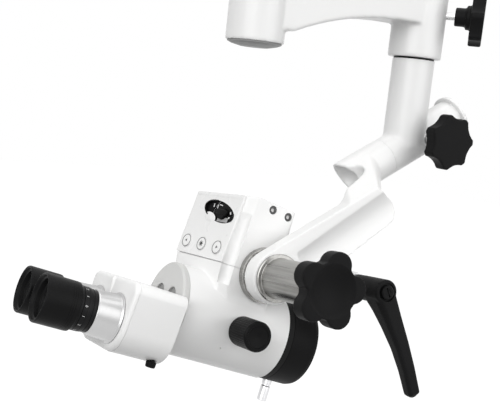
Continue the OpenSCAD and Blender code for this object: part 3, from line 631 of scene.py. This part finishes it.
# Yoke arm
def yoke_arm():
    """The arm: a tube with an open end, a swept web, and the flat plate that holds the tilt hub."""
    hub = dict(x=-HUB_REACH, z=-HUB_DROP)
    hub_r, hub_bore, tube_end = 26, 16, -89.5
    plate = hulled([rod_y(hub_r, -PLATE_OUT, -PLATE_IN, **hub),
                    rod_y(15, -PLATE_OUT, -PLATE_IN, x=-91, z=-31),
                    rod_y(4, -PLATE_OUT, -PLATE_IN, x=-92, z=-8)])
    tube = rod_x(SLEEVE_R, tube_end, -15)
    neck = hulled([rod_x(20, -84, -52), block(-128, -90, -PLATE_OUT, -PLATE_IN, -15, -4.5)])
    # The tube's open end: a pocket, a far wall cut back, and a web whose far side sweeps down to the plate
    pocket = apply_place(stretched(ball(1), 25, 18.4, 18.4), shift(-92, 0, 0))
    slope = turn("Z", -15) @ turn("Y", -15)
    back = apply_place(block(-80, 0, -8, 60, -60, 60), shift(-84.2, 0, 0) @ slope)
    sweep = [(tube_end, 12), (-88, -6), (-84.5, -13), (-76.5, -18.5), (-74, -23.5), (-76, -29.6),
             (-84, -34.8), (-96, -38), (-113.7, -40.8), (-121, -43.9), (-170, -43.9), (-170, 12)]
    web = slab(rounded(sweep, 4), -40, 40)
    cove = hulled([rod_x(28, -203.5, -202, y=-87, z=-34), rod_x(31, -40, -39, y=-88, z=-29)])
    body = cast([plate, tube, neck], voxel=1.1, smooth=9, hollows=[pocket, back, web, cove], cuts=[
        rod_x(60, -29.3, 60),
        rod_x(11, -49.3, -20),
        rod_y(hub_bore, -PLATE_OUT - OVER, -PLATE_IN + OVER, **hub),
        rod_y(60, -PLATE_OUT - 20, -PLATE_OUT + 0.1, **hub),
        rod_y(38, -PLATE_IN - 0.1, -PLATE_IN + 60, **hub),
    ])
    seat(body, "yoke_body", ARM, "arm", WHITE, ["yoke_arm"])


# Tilt hub
def tilt_hub():
    """The bright ring against the body, and the steel sleeve that carries the handwheel."""
    shaft_r, ring_r, ring_back, ring_front = 12, 27.5, 36.3, 43.7
    ring = turned([(shaft_r, ring_back), (ring_r, ring_back), (ring_r, ring_front), (shaft_r, ring_front)],
                  soft=0.6)
    seat(ring, "tilt_collar", HEAD @ TOWARD_US, "carriage", STEEL, ["tilt_ring"])
    bore, sleeve_r, lip_r, front = 15.5, 19.5, 23.5, 143
    sleeve = turned([(bore, 64), (lip_r, 64), (lip_r, 66.2), (22.6, 67), (19.9, 67), (sleeve_r, 67.6),
                     (sleeve_r, 139), (18.5, front), (bore, front)], soft=0.4)
    seat(sleeve, "steel_sleeve", HUB @ TOWARD_US, "arm", STEEL, ["hub_sleeve"])


def star(r, lobes, lobe_r, hub_r, low, high, first=0.0):
    """The parts of a handwheel: round lobes about a hub, whose valleys the remesh fills."""
    parts = [rod(hub_r, low, high)]
    for i in range(lobes):
        angle = 2 * math.pi * i / lobes + first
        reach = r - lobe_r
        place = spoke(reach, angle)
        parts.append(apply_place(rod(lobe_r, low, high), place))
    return parts


def tilt_knob():
    """The five-lobed handwheel with its dished front."""
    back, thick = 143.3, 17
    front = back + thick
    dish_r, dish_out = 40, 32
    wheel = star(35, 5, 12.5, 25.5, back, front, first=math.radians(90))
    dish = ball(dish_r, 0, 0, front + dish_out)
    knob = cast(wheel, voxel=0.9, smooth=12, cuts=[dish, rod(12.05, back - 2, back + 8.8)])
    seat(knob, "tilt_handwheel", HEAD @ TOWARD_US, "tilt_knob", BLACK_SOFT, ["tilt_knob"])


# Clamping lever
def lever():
    """The long black lever: a hub and an arm that thins and bends outward, with a push button."""
    hub_back, hub_front, hub_r = 50, 98, 12.5
    hub = turned([(0, hub_back), (12.2, hub_back), (hub_r, 51), (hub_r, 96.6), (11.6, hub_front),
                  (0, hub_front)], soft=0.6)
    lay = turn("Z", LEVER_TURN)
    # Stations of the arm: along it, across it, toward the viewer, half width, half depth
    stations = [(0, 0, 84, 12.0, 13.6), (14, 0.5, 88, 10.6, 11.2), (32, 1, 92, 9.2, 9.2),
                (56, 1.4, 97, 7.8, 7.6), (80, 1.4, 99.5, 7.0, 6.8), (104, 1.2, 100, 6.7, 6.2)]
    blocks = []
    for along, across, out, wide, deep in stations:
        piece = bevelled(block(-wide, wide, -wide * 0.7, wide * 0.7, -deep, deep), wide * 0.45, 4)
        blocks.append(apply_place(piece, lay @ shift(across, -along, out)))
    links = [hulled([copy_of(a), copy_of(b)]) for a, b in zip(blocks, blocks[1:])]
    for piece in blocks:
        bpy.data.objects.remove(piece)
    tip = apply_place(stretched(ball(1), 6.7, 6.7, 6.2), lay @ shift(1.2, -104.5, 100))
    body = cast([hub] + links + [tip], voxel=0.9, smooth=3,
                cuts=[rod(6, 40, 74), rod(9.2, 96.6, 120), rod(7.2, 83, 120)])
    seat(body, "lever_body", LEVER @ TOWARD_US, "lever", BLACK_SOFT, ["clamp_lever"])
    push_r, push_back, push_front, dimple = 7, 86, 100.4, 99.8
    push = turned([(0, push_back), (push_r, push_back), (push_r, 99.6), (6, push_front), (3.2, push_front),
                   (2.8, dimple), (0, dimple)], soft=0.4)
    cut(push, [apply_place(block(-0.8, 0.8, -5, 5, 99.2, 102), turn("Z", 40))])
    seat(push, "lever_push", LEVER @ TOWARD_US, "lever_button", BLACK, ["lever_button"])


# Optics body
BOX_FAR = 41
BOX_REAR = 14
LID_NEAR = -38
PORT_Y, PORT_Z, PORT_R = 14.3, 10.2, 10.3
SCREW_R = 4.3
SCREWS = {"front": (-12.1, 63.3), "rear": (6.6, 61.8)}


def panel_u(y, depth=0.0, w=0.0):
    """Where the leaning panel's plane lies at a given Y and height; depth goes into the box."""
    yaw = math.radians(PANEL_YAW)
    back = (LEAN_W - w) * math.tan(math.radians(PANEL_LEAN))
    return -PANEL_FRONT - y * math.tan(yaw) + (depth - back) / math.cos(yaw)


def roof_w(u, y):
    """Height of the lamp box's roof: two flat halves, one falling rearward, one falling forward."""
    fold_u = -30
    rear = ROOF - 0.05 * (u - fold_u) - 0.085 * (y - LID_NEAR)
    return min(rear, ROOF + 0.29 * (u - fold_u) + 0.044 * (y - LID_NEAR))


def stadium_y(r, half, low, high):
    return hulled([rod_y(r, low, high, x=-half), rod_y(r, low, high, x=half)])


def hub_space():
    """Tools that free the tilt hub's ring, shaft and rail in the near side, inside a shallow dish."""
    travel, ring_r, shaft_r, floor = 8, 28.5, 13, -36
    dish = hulled([stadium_y(ring_r, travel, floor - 0.3, floor), stadium_y(50, travel, -39.2, -39)])
    cut(dish, [block(-90, 90, -70, 0, -90, -28)])
    rail = block(0, 60, -30, -17.7, -8.3, 16.3)
    return [dish, stadium_y(ring_r, travel, -60, floor), stadium_y(shaft_r, travel, -60, 0), rail]


def corner_cove(low, high):
    """Tool for the hollow strip down the box's near front corner, with a slanted end."""
    half, ramp, cove_r = 5.6, 7, 7.5
    end = apply_place(block(-half, half, -3, 0, high - 0.2, high), shift(-37.3, -35.1, 0) @ turn("Z", -27.5))
    return hulled([apply_place(rod(cove_r, low, high - ramp, 64), shift(-41, -38.2, 0)), end])


def optics_body():
    """The round body with the saddle under the lamp box, the gray front flange and its two ports."""
    side, foot = -37.5, 9
    plan = [(panel_u(BOX_FAR), BOX_FAR, 3), (panel_u(NEAR_EDGE), NEAR_EDGE, 1.2), (side, side, 1.2),
            (BOX_REAR, side, 3), (BOX_REAR, BOX_FAR, 3)]
    saddle = slab(rounded(plan, 2), -AXIS_DROP, 4)
    for vert in saddle.data.vertices:
        if vert.co.x < -36 and vert.co.z < 0:
            vert.co.x += foot
    axis = shift(0, 0, -AXIS_DROP)
    bore, knob_bore = 39.5, 5.05
    shell = cast([
        rod_x(BODY_R, -80, 51, z=-AXIS_DROP),
        saddle,
    ], voxel=1.1, smooth=7, cuts=[
        corner_cove(-20, 30),
        apply_place(rod_x(80, -200, -72), axis),
        apply_place(rod_x(80, 43, 200), axis),
        block(-90, 60, -60, 60, -1.2, 60),
        rod_x(bore, -73, 44, z=-AXIS_DROP),
        slab([(-47, 37), (-38, -28), (10, -28), (10, 37)], -AXIS_DROP, 8),
        rod_y(knob_bore, -60, 60, x=-11, z=-58),
        apply_place(rod(0.9, 0, 20, 24), shift(-22.9, -34, -AXIS_DROP - 20) @ turn("X", 128)),
    ])
    for tool in hub_space():
        cut(shell, [tool])
    seat(shell, "body_shell", HEAD, "head", WHITE, ["main_housing"])
    front_flange()


def front_flange():
    """The gray disc that the binocular turns on, with two plugged ports above it."""
    back = -72
    disc = turned([(0, -FLANGE_FACE), (42.4, -FLANGE_FACE), (BODY_R, -77.4), (BODY_R, -72.3), (43.2, back),
                   (0, back)],
                  soft=0.5, steps=160)
    apply_place(disc, ALONG_X)
    cut(disc, [rod_x(20, -90, -60, z=-13)]
        + [rod_x(PORT_R, -90, -75.5, y=y, z=PORT_Z) for y in (-PORT_Y, PORT_Y)])
    seat(disc, "front_flange", AXIS, "head", GRAY, ["bino_flange"])
    ports = []
    for y in (-PORT_Y, PORT_Y):
        plug = turned([(0, 0), (8.6, 0), (9.4, 0.6), (10.2, 0.6), (10.2, 2), (0, 2)], soft=0.25)
        ports.append(apply_place(plug, shift(-77.4, y, PORT_Z) @ ALONG_X))
    seat(joined(ports), "port_plugs", AXIS, "head", STEEL_DARK, ["body_screws"])


def lamp_cover():
    """The lamp box: a shell with a leaning front, a folded roof, a near corner cove and two screws."""
    corner, plate = -37.9, 3
    plan = [(panel_u(BOX_FAR, plate), BOX_FAR, 2.5), (panel_u(NEAR_EDGE, plate), NEAR_EDGE, 0.6),
            (corner, LID_NEAR, 1.2), (-28.9, LID_NEAR, 6), (BOX_REAR, LID_NEAR, 3), (BOX_REAR, BOX_FAR, 3)]
    shell = slab(rounded(plan, 2), -1, 60)
    lean = math.tan(math.radians(PANEL_LEAN))
    corner_sweep = 8
    for vert in shell.data.vertices:
        top = vert.co.z > 30
        if vert.co.x < -39:
            vert.co.x += lean * (ROOF - 3 if top else vert.co.z)
        elif top and vert.co.y < -37 and vert.co.x < -36:
            vert.co.x += corner_sweep
        if top:
            vert.co.z = roof_w(vert.co.x, vert.co.y)
    inside = [(-49, 37), (-41, -28), (10.5, -28), (10.5, 37)]
    shell = cast([shell], voxel=0.9, smooth=4, cuts=[
        corner_cove(-5, 52), block(-90, 60, -60, 60, -20, -0.9), slab(inside, -5, 60)] + hub_space())
    for u, w in SCREWS.values():
        cut(shell, [rod_y(SCREW_R, -50, -36, x=u, z=w, sides=48)])
    seat(shell, "lamp_shell", HEAD, "head", WHITE, ["lamp_cover"], smooth_angle=32)
    for label, (u, w) in SCREWS.items():
        head_r, head_top = 4.1, 37.5
        screw = turned([(0, 33), (head_r, 33), (head_r, 37.0), (3.6, head_top), (0, head_top)], soft=0.3,
                       steps=48)
        bpy.ops.mesh.primitive_cylinder_add(vertices=6, radius=2.2, depth=4, location=(0, 0, head_top))
        cut(screw, [apply_place(bpy.context.object)])
        seat(screw, "cover_screw_" + label, HEAD @ shift(u, 0, w) @ TOWARD_US, "head", BLACK_STEEL)


# Control panel: a piece drawn with its width along X, its height along Y and its depth along Z is laid here
PANEL_LAY = Matrix(((0, 0, 1, 0), (1, 0, 0, 0), (0, 1, 0, 0), (0, 0, 0, 1)))
DIAL_Y, DIAL_W = -9, 46
# The dial's window in the panel, about the dial's middle: half width, half height, turn, and its middle
WINDOW = (25.4, 10.5, 11, 5.6, 1.5)
KEYS = ("far", "middle", "near")
KEY_Y, KEY_STEP, KEY_W = 30, 25, 12
DISC_FACE = 1.8
# Depth of the dial's painted highlight strokes and painted reflection patch
PAINT_FACE = 1.65


def oval(grow, low, high, steps=72):
    wide, tall, slope, x, y = WINDOW
    points = [((wide + grow) * math.cos(2 * math.pi * k / steps),
               (tall + grow) * math.sin(2 * math.pi * k / steps))
              for k in range(steps)]
    return apply_place(slab(points, low, high), shift(DIAL_Y + x, DIAL_W + y, 0) @ turn("Z", slope))


def panel_plate():
    """The plate with its three key holes, the dial's window, a crease near the top and a low lip."""
    cosine = math.cos(math.radians(PANEL_YAW))
    left, right = NEAR_EDGE / cosine + 0.6, BOX_FAR / cosine
    foot, far_top, near_top, thick = -0.6, 65.4, 68.4, 3
    outline = [(left, foot, 1), (right, foot, 2), (right, far_top, 2), (left, near_top, 1)]
    plate = slab(rounded(outline, 1), 0, thick)
    bevelled(plate, 0.8, 3)
    cuts = [apply_place(rod(7.0, -5, 8, 64), shift(KEY_Y - KEY_STEP * i, KEY_W,
                                                   0)) for i in range(len(KEYS))]
    crease = apply_place(block(-60, 60, -0.35, 0.35, -1, 0.25), shift(0, 62.7, 0) @ turn("Z", -1.9))
    skin, pocket_r = 0.5, 18.2
    cuts += [oval(-0.2, -5, 8), crease, apply_place(rod(pocket_r, skin, 8), shift(DIAL_Y, DIAL_W, 0))]
    cut(plate, cuts)
    lip = apply_place(stretched(ball(1), 9.5, 5.0, 1.4), shift(8.4, 40.4, 0.6) @ turn("Z", 14))
    cut(lip, [block(-60, 60, -60, 60, skin, 20)])
    seat(joined([plate, lip]), "panel_plate", PANEL @ PANEL_LAY, "head", WHITE_PANEL,
         ["control_panel"], smooth_angle=18)


def control_panel():
    """The panel plate, the ring around the dial's window, and three keys with their rings and marks."""
    panel_plate()
    well = cut(oval(0, -0.6, 3.2),
               [oval(-1.5, -2, 2.4), apply_place(rod(17.6, -5, 8, 96), shift(DIAL_Y, DIAL_W, 0))])
    bevelled(well, 0.35, 3)
    seat(well, "dial_well", PANEL @ PANEL_LAY, "head", BLACK)
    button_r, foot_r, ring_in, ring_out = 6.7, 7.2, 6.0, 6.55
    for i, label in enumerate(KEYS):
        spot = PANEL @ shift(0, KEY_Y - KEY_STEP * i, KEY_W) @ ALONG_X
        button = turned([(0, -1.0), (5.0, -1.0), (5.4, -0.8), (button_r, -0.7), (button_r, 3.3),
                         (foot_r, 3.3), (foot_r, 4.3), (0, 4.3)], soft=0.2)
        seat(button, "key_" + label, spot, "button_" + label, WHITE_PANEL,
             ["button_" + label])
        ring = turned([(ring_in, -0.95), (ring_out, -0.95), (ring_out, -0.6), (ring_in, -0.6)], soft=0.05)
        seat(ring, "key_ring_" + label, spot, "button_" + label, PRINT_GRAY)
        mark = key_sun() if label == "middle" else key_arrow(label)
        seat(mark, "key_mark_" + label, spot, "button_" + label, PRINT_GRAY)
    dial()


def key_arrow(label):
    """A small triangle, pointing away from the middle key."""
    bpy.ops.mesh.primitive_cylinder_add(vertices=3, radius=1.7, depth=0.3, location=(0, 0, -1.05))
    return apply_place(bpy.context.object, turn("Z", 0 if label == "far" else 180))


def key_sun():
    """A round dot with eight short rays."""
    face, back = -1.2, -0.9
    rays = [apply_place(block(2.1, 3.1, -0.3, 0.3, face, back), turn("Z", 45 * k)) for k in range(8)]
    return joined([rod(1.8, face, back, 32)] + rays)


def dial():
    """The brightness wheel behind its window: a disc, a grip bar that stands out, white strokes that are
    painted highlights on the grip's edges, a light-gray patch that is a painted reflection, and a white
    index mark.
    """
    lay = shift(0, DIAL_Y, DIAL_W)
    rim_r, back = 17.0, 3.6
    disc = turned([(0, DISC_FACE), (15.9, DISC_FACE), (16.9, 2.6), (rim_r, back), (0, back)], soft=0.3,
                  steps=120)
    wheel = apply_place(disc, lay @ ALONG_X)
    hub = apply_place(rod(6.0, -1.5, 2.4), lay @ ALONG_X)
    grip = apply_place(bevelled(block(-8.7, 7.8, -1.4, 3.8, -2.8, 0.5), 1.2, 4),
                       lay @ PANEL_LAY @ turn("Z", 3))
    wheel = cut(wheel, [hub, grip], "UNION")
    seat(wheel, "dial_wheel", PANEL, "brightness_dial", BLACK, ["brightness_dial"])
    # Each painted highlight stroke: its middle across and up, its length, its width and its slope
    highlight_strokes = ((12.4, 6.6, 4.2, 1.0, 82), (8.0, 8.6, 5.4, 0.9, 8), (-10.4, 2.0, 3.0, 1.5, 60),
               (-10.2, -2.9, 1.9, 1.9, 0))
    marks = []
    for x, y, long, wide, slope in highlight_strokes:
        highlight_stroke = block(-long / 2, long / 2, -wide / 2, wide / 2, PAINT_FACE, 2)
        marks.append(apply_place(highlight_stroke, shift(x, y, 0) @ turn("Z", slope)))
    # These white strokes are painted highlights of the grip's edges, laid flat on the disc's face
    seat(joined(marks), "dial_painted_highlights", PANEL @ lay @ PANEL_LAY, "brightness_dial",
         WHITE_PRINT_AND_HIGHLIGHT)
    # Light-gray patch below the grip: a painted reflection of the pale floor in the dial's face
    plate = block(-9.4, 6.6, -8.2, -3.3, PAINT_FACE, 2)
    seat(plate, "dial_painted_reflection", PANEL @ lay @ PANEL_LAY, "brightness_dial", PAINTED_REFLECTION_GRAY)
    index = apply_place(block(-1.9, 1.9, -0.7, 0.7, 2.2, 2.8),
                        shift(DIAL_Y + 19.5, DIAL_W + 7.4, 0) @ turn("Z", 80))
    seat(index, "dial_index", PANEL @ PANEL_LAY, "head", WHITE_PRINT_AND_HIGHLIGHT)


# Changer and focus
def fluted(knob, flute_r, reach, count, low, high):
    """Cuts small flutes around a turned knob about Z."""
    flutes = []
    for k in range(count):
        angle = k * 2 * math.pi / count
        place = spoke(reach, angle)
        flutes.append(apply_place(rod(flute_r, low, high, 12), place))
    return cut(knob, [joined(flutes)])


def changer_knobs():
    """The magnification changer's two fluted knobs, one on each side of the body."""
    knob_r, face = 14.5, 80
    knobs = []
    for side in (TOWARD_US, ALONG_Y):
        knob = turned([(0, 48), (13.6, 46), (knob_r, 47), (knob_r, 78.6), (13.3, face), (11, face),
                       (10.6, 79), (0, 79)], soft=0.5)
        fluted(knob, 0.7, 14.9, 36, 50, 77)
        knobs.append(apply_place(knob, side))
    seat(joined(knobs), "changer_handles", CHANGER, "changer", BLACK, ["changer_knobs"])


def focus():
    """The black focus ring at the body's end, and its bright pin below."""
    bore, ring_r, back, front = 37.55, 43, 50.3, 82
    ring = turned([(bore, back), (42.6, back), (ring_r, 51), (ring_r, 77), (42, 80.5), (39.5, front),
                   (bore, front)],
                  soft=0.8)
    seat(ring, "focus_collar", AXIS @ ALONG_X, "focus", BLACK_SOFT, ["focus_ring"])
    pin_r, waist_r = 5, 4.4
    pin = turned([(0, -40), (pin_r, -40), (pin_r, -47), (waist_r, -48), (waist_r, -49), (pin_r, -50),
                  (pin_r, -64), (4.4, -65), (0, -65)], soft=0.3)
    seat(pin, "focus_handle", AXIS @ shift(61, 0, 0), "focus", ALUMINIUM_PLAIN, ["focus_pin"])


# Binocular
def bino_slab(inset, low, high):
    """A slice of the binocular housing, its section drawn in by the inset."""
    steps = 16
    eye_x, eye_y, eye_r = 28.5, -6.25, 27.5
    top_x, top_y, top_r = 50, 23.75, 10
    corners = [(eye_x, eye_y, eye_r, -100, 0), (top_x, top_y, top_r, 0, 90),
               (-top_x, top_y, top_r, 90, 180), (-eye_x, eye_y, eye_r, 180, 280)]
    outline = []
    for x, y, r, first, last in corners:
        for k in range(steps + 1):
            angle = math.radians(first + (last - first) * k / steps)
            outline.append((x + (r - inset) * math.cos(angle), y + (r - inset) * math.sin(angle)))
    return hulled([slab(outline, low, high)])


def stretched_slot(side):
    """Opening in the housing's face through which an eyepiece tube slides sideways."""
    drop, half, slot_r = BINO_DROP - EYE_DROP, 8, 15.3
    ends = [apply_place(rod(slot_r, -140, -126), shift(side * EYE_HALF + dx, drop, 0))
            for dx in (-half, half)]
    return hulled(ends)


def binocular():
    """The hollow housing with its seam, bezel, slots and top valley, its dovetail and its lock screw."""
    front, seam_at, rear_face = -BINO_FRONT, -128.6, -79.4
    rear = hulled([bino_slab(0, -127.9, -80.2), bino_slab(0.7, -80, rear_face)])
    seam = bino_slab(0.5, seam_at, -127.7)
    bezel = hulled([bino_slab(0, -128.7, -128.3), bino_slab(0.6, front + 1.9, -129),
                    bino_slab(1.9, front + 0.7, -129), bino_slab(3.9, front, -129)])
    shell = cut(cut(rear, [seam], "UNION"), [bezel], "UNION")
    inside = bino_slab(3.5, -129, -83)
    slots = [stretched_slot(side) for side in (-1, 1)]
    valley = apply_place(hulled([ball(3.5, 0, 40, -7), ball(0.6, 0, 14, 1.2), ball(9, 0, 45, -4)]),
                         shift(1, 0, front))
    lock_bore = apply_place(rod_y(3.05, -40, -15), shift(-40, 0, -89))
    cut(shell, [inside] + slots + [rod(17, -90, -70), valley, lock_bore])
    seat(shell, "bino_shell", BINO @ PANEL_LAY, "binocular", WHITE, ["bino_housing"])
    bore, boss_r, back, end = 17, 19.9, -81, -72.4
    boss = turned([(bore, back), (boss_r, back), (boss_r, end), (bore, end)], soft=0.3)
    seat(boss, "bino_dovetail", HEAD @ shift(0, 0, -70) @ ALONG_X, "binocular", WHITE)
    foot = -5.9
    knob = turned([(0, foot), (3.9, foot), (4.7, -5.2), (5, -1), (4.6, 0), (3, 0), (3, 10), (0, 10)],
                  soft=0.4)
    fluted(knob, 0.45, 5.1, 18, -5, -0.8)
    seat(knob, "lock_screw", HEAD @ shift(-89, -40, -107.6), "lock_knob", BLACK,
         ["lock_knob"])


def tube(side, label):
    """One eyepiece: aluminium collar, black body, diopter ring with its digits, eyecup and lens."""
    eye = EYES @ shift(0, side * EYE_HALF, 0) @ ALONG_X
    back = BINO_FRONT + 0.3
    tip = back + 24
    bore, spigot = 12, 15
    collar = turned([(bore, -back + 12), (spigot, -back + 12), (spigot, -back), (23.6, -back),
                     (23.8, -back - 0.8), (22.3, -back - 2.2), (22.0, -back - 4), (20.7, -tip + 1.2),
                     (20.4, -tip), (bore, -tip)], soft=0.6)
    seat(collar, "collar_ring_" + label, eye, "tube_" + label, ALUMINIUM,
         ["collar_" + label])
    neck_r, flange_r, barrel_r, end = 16.5, 20.5, 18, -193.1
    body = turned([(bore, -tip), (neck_r, -tip), (neck_r, -170.7), (flange_r, -170.7), (flange_r, -173.1),
                   (barrel_r, -173.1), (barrel_r, end), (bore, end)], soft=0.2)
    seat(body, "eyepiece_body_" + label, eye, "tube_" + label, BLACK_ANODIZED,
         ["eyepiece_" + label])
    inner, groove_r, ring_r = 16.55, 20.1, 20.5
    ring = turned([(inner, -157.4), (19.2, -157.4), (19.6, -157.8), (19.8, -160.4), (19.3, -160.8),
                   (19.3, -161.3), (groove_r, -161.7), (ring_r, -165.2), (groove_r, -165.6), (ring_r, -166),
                   (ring_r, -170), (groove_r, -170.4), (inner, -170.4)], soft=0.2)
    seat(ring, "diopter_ring_" + label, eye, "diopter_" + label, BLACK_ANODIZED,
         ["diopter_" + label])
    slip_r, cup_r, seat_r = 18.05, 22.7, 12.4
    cup = turned([(slip_r, -173.4), (22.0, -173.4), (22.5, -173.9), (cup_r, -176), (cup_r, -204.6),
                  (22.2, -205.8), (21.4, -206.2), (20.4, -205.4), (19.6, -203.4), (18.0, -202.6),
                  (17.2, -198.2), (15.6, -197.4), (14.6, -194.4), (seat_r, -193.6), (seat_r, -193.2),
                  (slip_r, -193.2)], soft=0.5)
    grooves = [turned([(22.5, z), (23.5, z - 0.4), (23.5, z + 0.4)], soft=0) for z in (-178, -180, -182)]
    cut(cup, grooves)
    seat(cup, "eyecup_rim_" + label, eye, "eyecup_" + label, RUBBER, ["eyecup_" + label])
    lens_r, lens_back = 11.9, -190.4
    lens = turned([(0, -191.5), (6, -191.9), (lens_r, -192.8), (lens_r, lens_back), (0, lens_back)],
                  soft=0.2)
    seat(lens, "ocular_" + label, eye, "tube_" + label, OCULAR)
    diopter_marks(label, eye)


def diopter_marks(label, eye):
    """Plain generic numbers around the diopter ring, standing on its side and reading along it."""
    size, raised, step, ring_r, along = 3.4, 0.1, 26, 20.45, -168.1
    marks = []
    for k, digit in enumerate("4321012345"):
        bpy.ops.object.text_add()
        text = bpy.context.object
        text.data.body = digit
        text.data.size = size
        text.data.extrude = raised
        text.data.align_x = "CENTER"
        text.data.align_y = "CENTER"
        bpy.ops.object.convert(target="MESH")
        around = math.radians(-90 + (k - 4.5) * step)
        place = turn("Z", math.degrees(around)) @ shift(ring_r, 0, along) @ turn("Y", 90) @ turn("Z", 90)
        marks.append(apply_place(bpy.context.object, place))
    seat(joined(marks), "diopter_digits_" + label, eye, "diopter_" + label, WHITE_PRINT_AND_HIGHLIGHT)


# Stage, in metres
FLOOR_SIZE = 14
FLOOR_TONE = 0.3
FLOOR_GLOW = 0.9
WORLD_LIGHT = 0.45


def seen_directly(tree):
    """1 where the eye, a mirror or a glass sees the surface, 0 where it only lights others."""
    path = tree.nodes.new("ShaderNodeLightPath")
    through = math_node(tree, "MAXIMUM", path.outputs["Is Glossy Ray"], path.outputs["Is Transmission Ray"])
    return math_node(tree, "MAXIMUM", path.outputs["Is Camera Ray"], through)


def stage():
    """A pale floor and an even world, both white where they are seen."""
    bpy.ops.mesh.primitive_plane_add(size=FLOOR_SIZE, location=(0, 1, -1.05))
    floor = bpy.context.object
    floor.name = "floor"
    mat = bpy.data.materials.new("pale_floor")
    mat.use_nodes = True
    tree = mat.node_tree
    shader = tree.nodes["Principled BSDF"]
    preset(shader, {"Base Color": (FLOOR_TONE, FLOOR_TONE, FLOOR_TONE, 1), "Roughness": 0.9,
                    "Specular IOR Level": 0.0, "Emission Color": (1, 1, 1, 1)})
    glow = math_node(tree, "MULTIPLY", seen_directly(tree), FLOOR_GLOW)
    tree.links.new(glow, shader.inputs["Emission Strength"])
    floor.data.materials.append(mat)

    world = bpy.data.worlds.new("studio")
    bpy.context.scene.world = world
    world.use_nodes = True
    tree = world.node_tree
    back = tree.nodes["Background"]
    extra = math_node(tree, "MULTIPLY", seen_directly(tree), 1 - WORLD_LIGHT)
    back.inputs["Color"].default_value = (1, 1, 1, 1)
    tree.links.new(math_node(tree, "ADD", extra, WORLD_LIGHT), back.inputs["Strength"])


def lamp(name, spot, target, size, power):
    bpy.ops.object.light_add(type="AREA", location=spot)
    light = bpy.context.object
    light.name = name
    light.data.shape = "DISK"
    light.data.size = size
    light.data.energy = power
    light.rotation_euler = (Vector(target) - Vector(spot)).to_track_quat("-Z", "Y").to_euler()


def lights():
    middle = (0.05, 0, -0.25)
    lamp("key", (-1.6, -1.1, 0.7), middle, 2.2, 29)
    lamp("top", (0.2, 0.1, 1.5), middle, 2.0, 13)
    lamp("fill", (0.9, -1.7, 0.4), middle, 2.0, 15)


# Camera: the photograph's view, whose focal length was worked out in pixels of its width
PHOTO_WIDTH = 500
FOCAL_PIXELS = 889
SENSOR = 36
CAMERA_TURN, CAMERA_PITCH, CAMERA_ROLL = -31.97, 6.97, 6.29
CAMERA_SPOT = (-0.4569, -0.7571, -0.1510)


def camera():
    azimuth = math.radians(CAMERA_TURN)
    pitch = math.radians(CAMERA_PITCH)
    roll = math.radians(CAMERA_ROLL)
    back = Vector((math.cos(pitch) * math.sin(azimuth), -math.cos(pitch) * math.cos(azimuth),
                   math.sin(pitch)))
    right = Vector((math.cos(azimuth), math.sin(azimuth), 0))
    up = back.cross(right)
    image_right = right * math.cos(roll) + up * math.sin(roll)
    image_up = up * math.cos(roll) - right * math.sin(roll)
    data = bpy.data.cameras.new("camera")
    view = bpy.data.objects.new("camera", data)
    bpy.context.collection.objects.link(view)
    data.sensor_width = SENSOR
    data.lens = FOCAL_PIXELS * SENSOR / PHOTO_WIDTH
    data.clip_start = 0.01
    turn_matrix = Matrix((image_right, image_up, back)).transposed().to_4x4()
    view.matrix_world = Matrix.Translation(CAMERA_SPOT) @ turn_matrix
    bpy.context.scene.camera = view


camera()
link()
clamp_knob("top_clamp_wheel", TOP_CLAMP, "top_clamp", "top_clamp_knob", 55)
clamp_knob("side_clamp_wheel", SIDE_CLAMP, "side_clamp", "side_clamp_knob", 44)
post()
yoke_arm()
tilt_hub()
tilt_knob()
lever()
optics_body()
lamp_cover()
control_panel()
changer_knobs()
focus()
binocular()
tube(-1, "near")
tube(1, "far")
stage()
lights()

bpy.context.scene.view_settings.view_transform = "Standard"
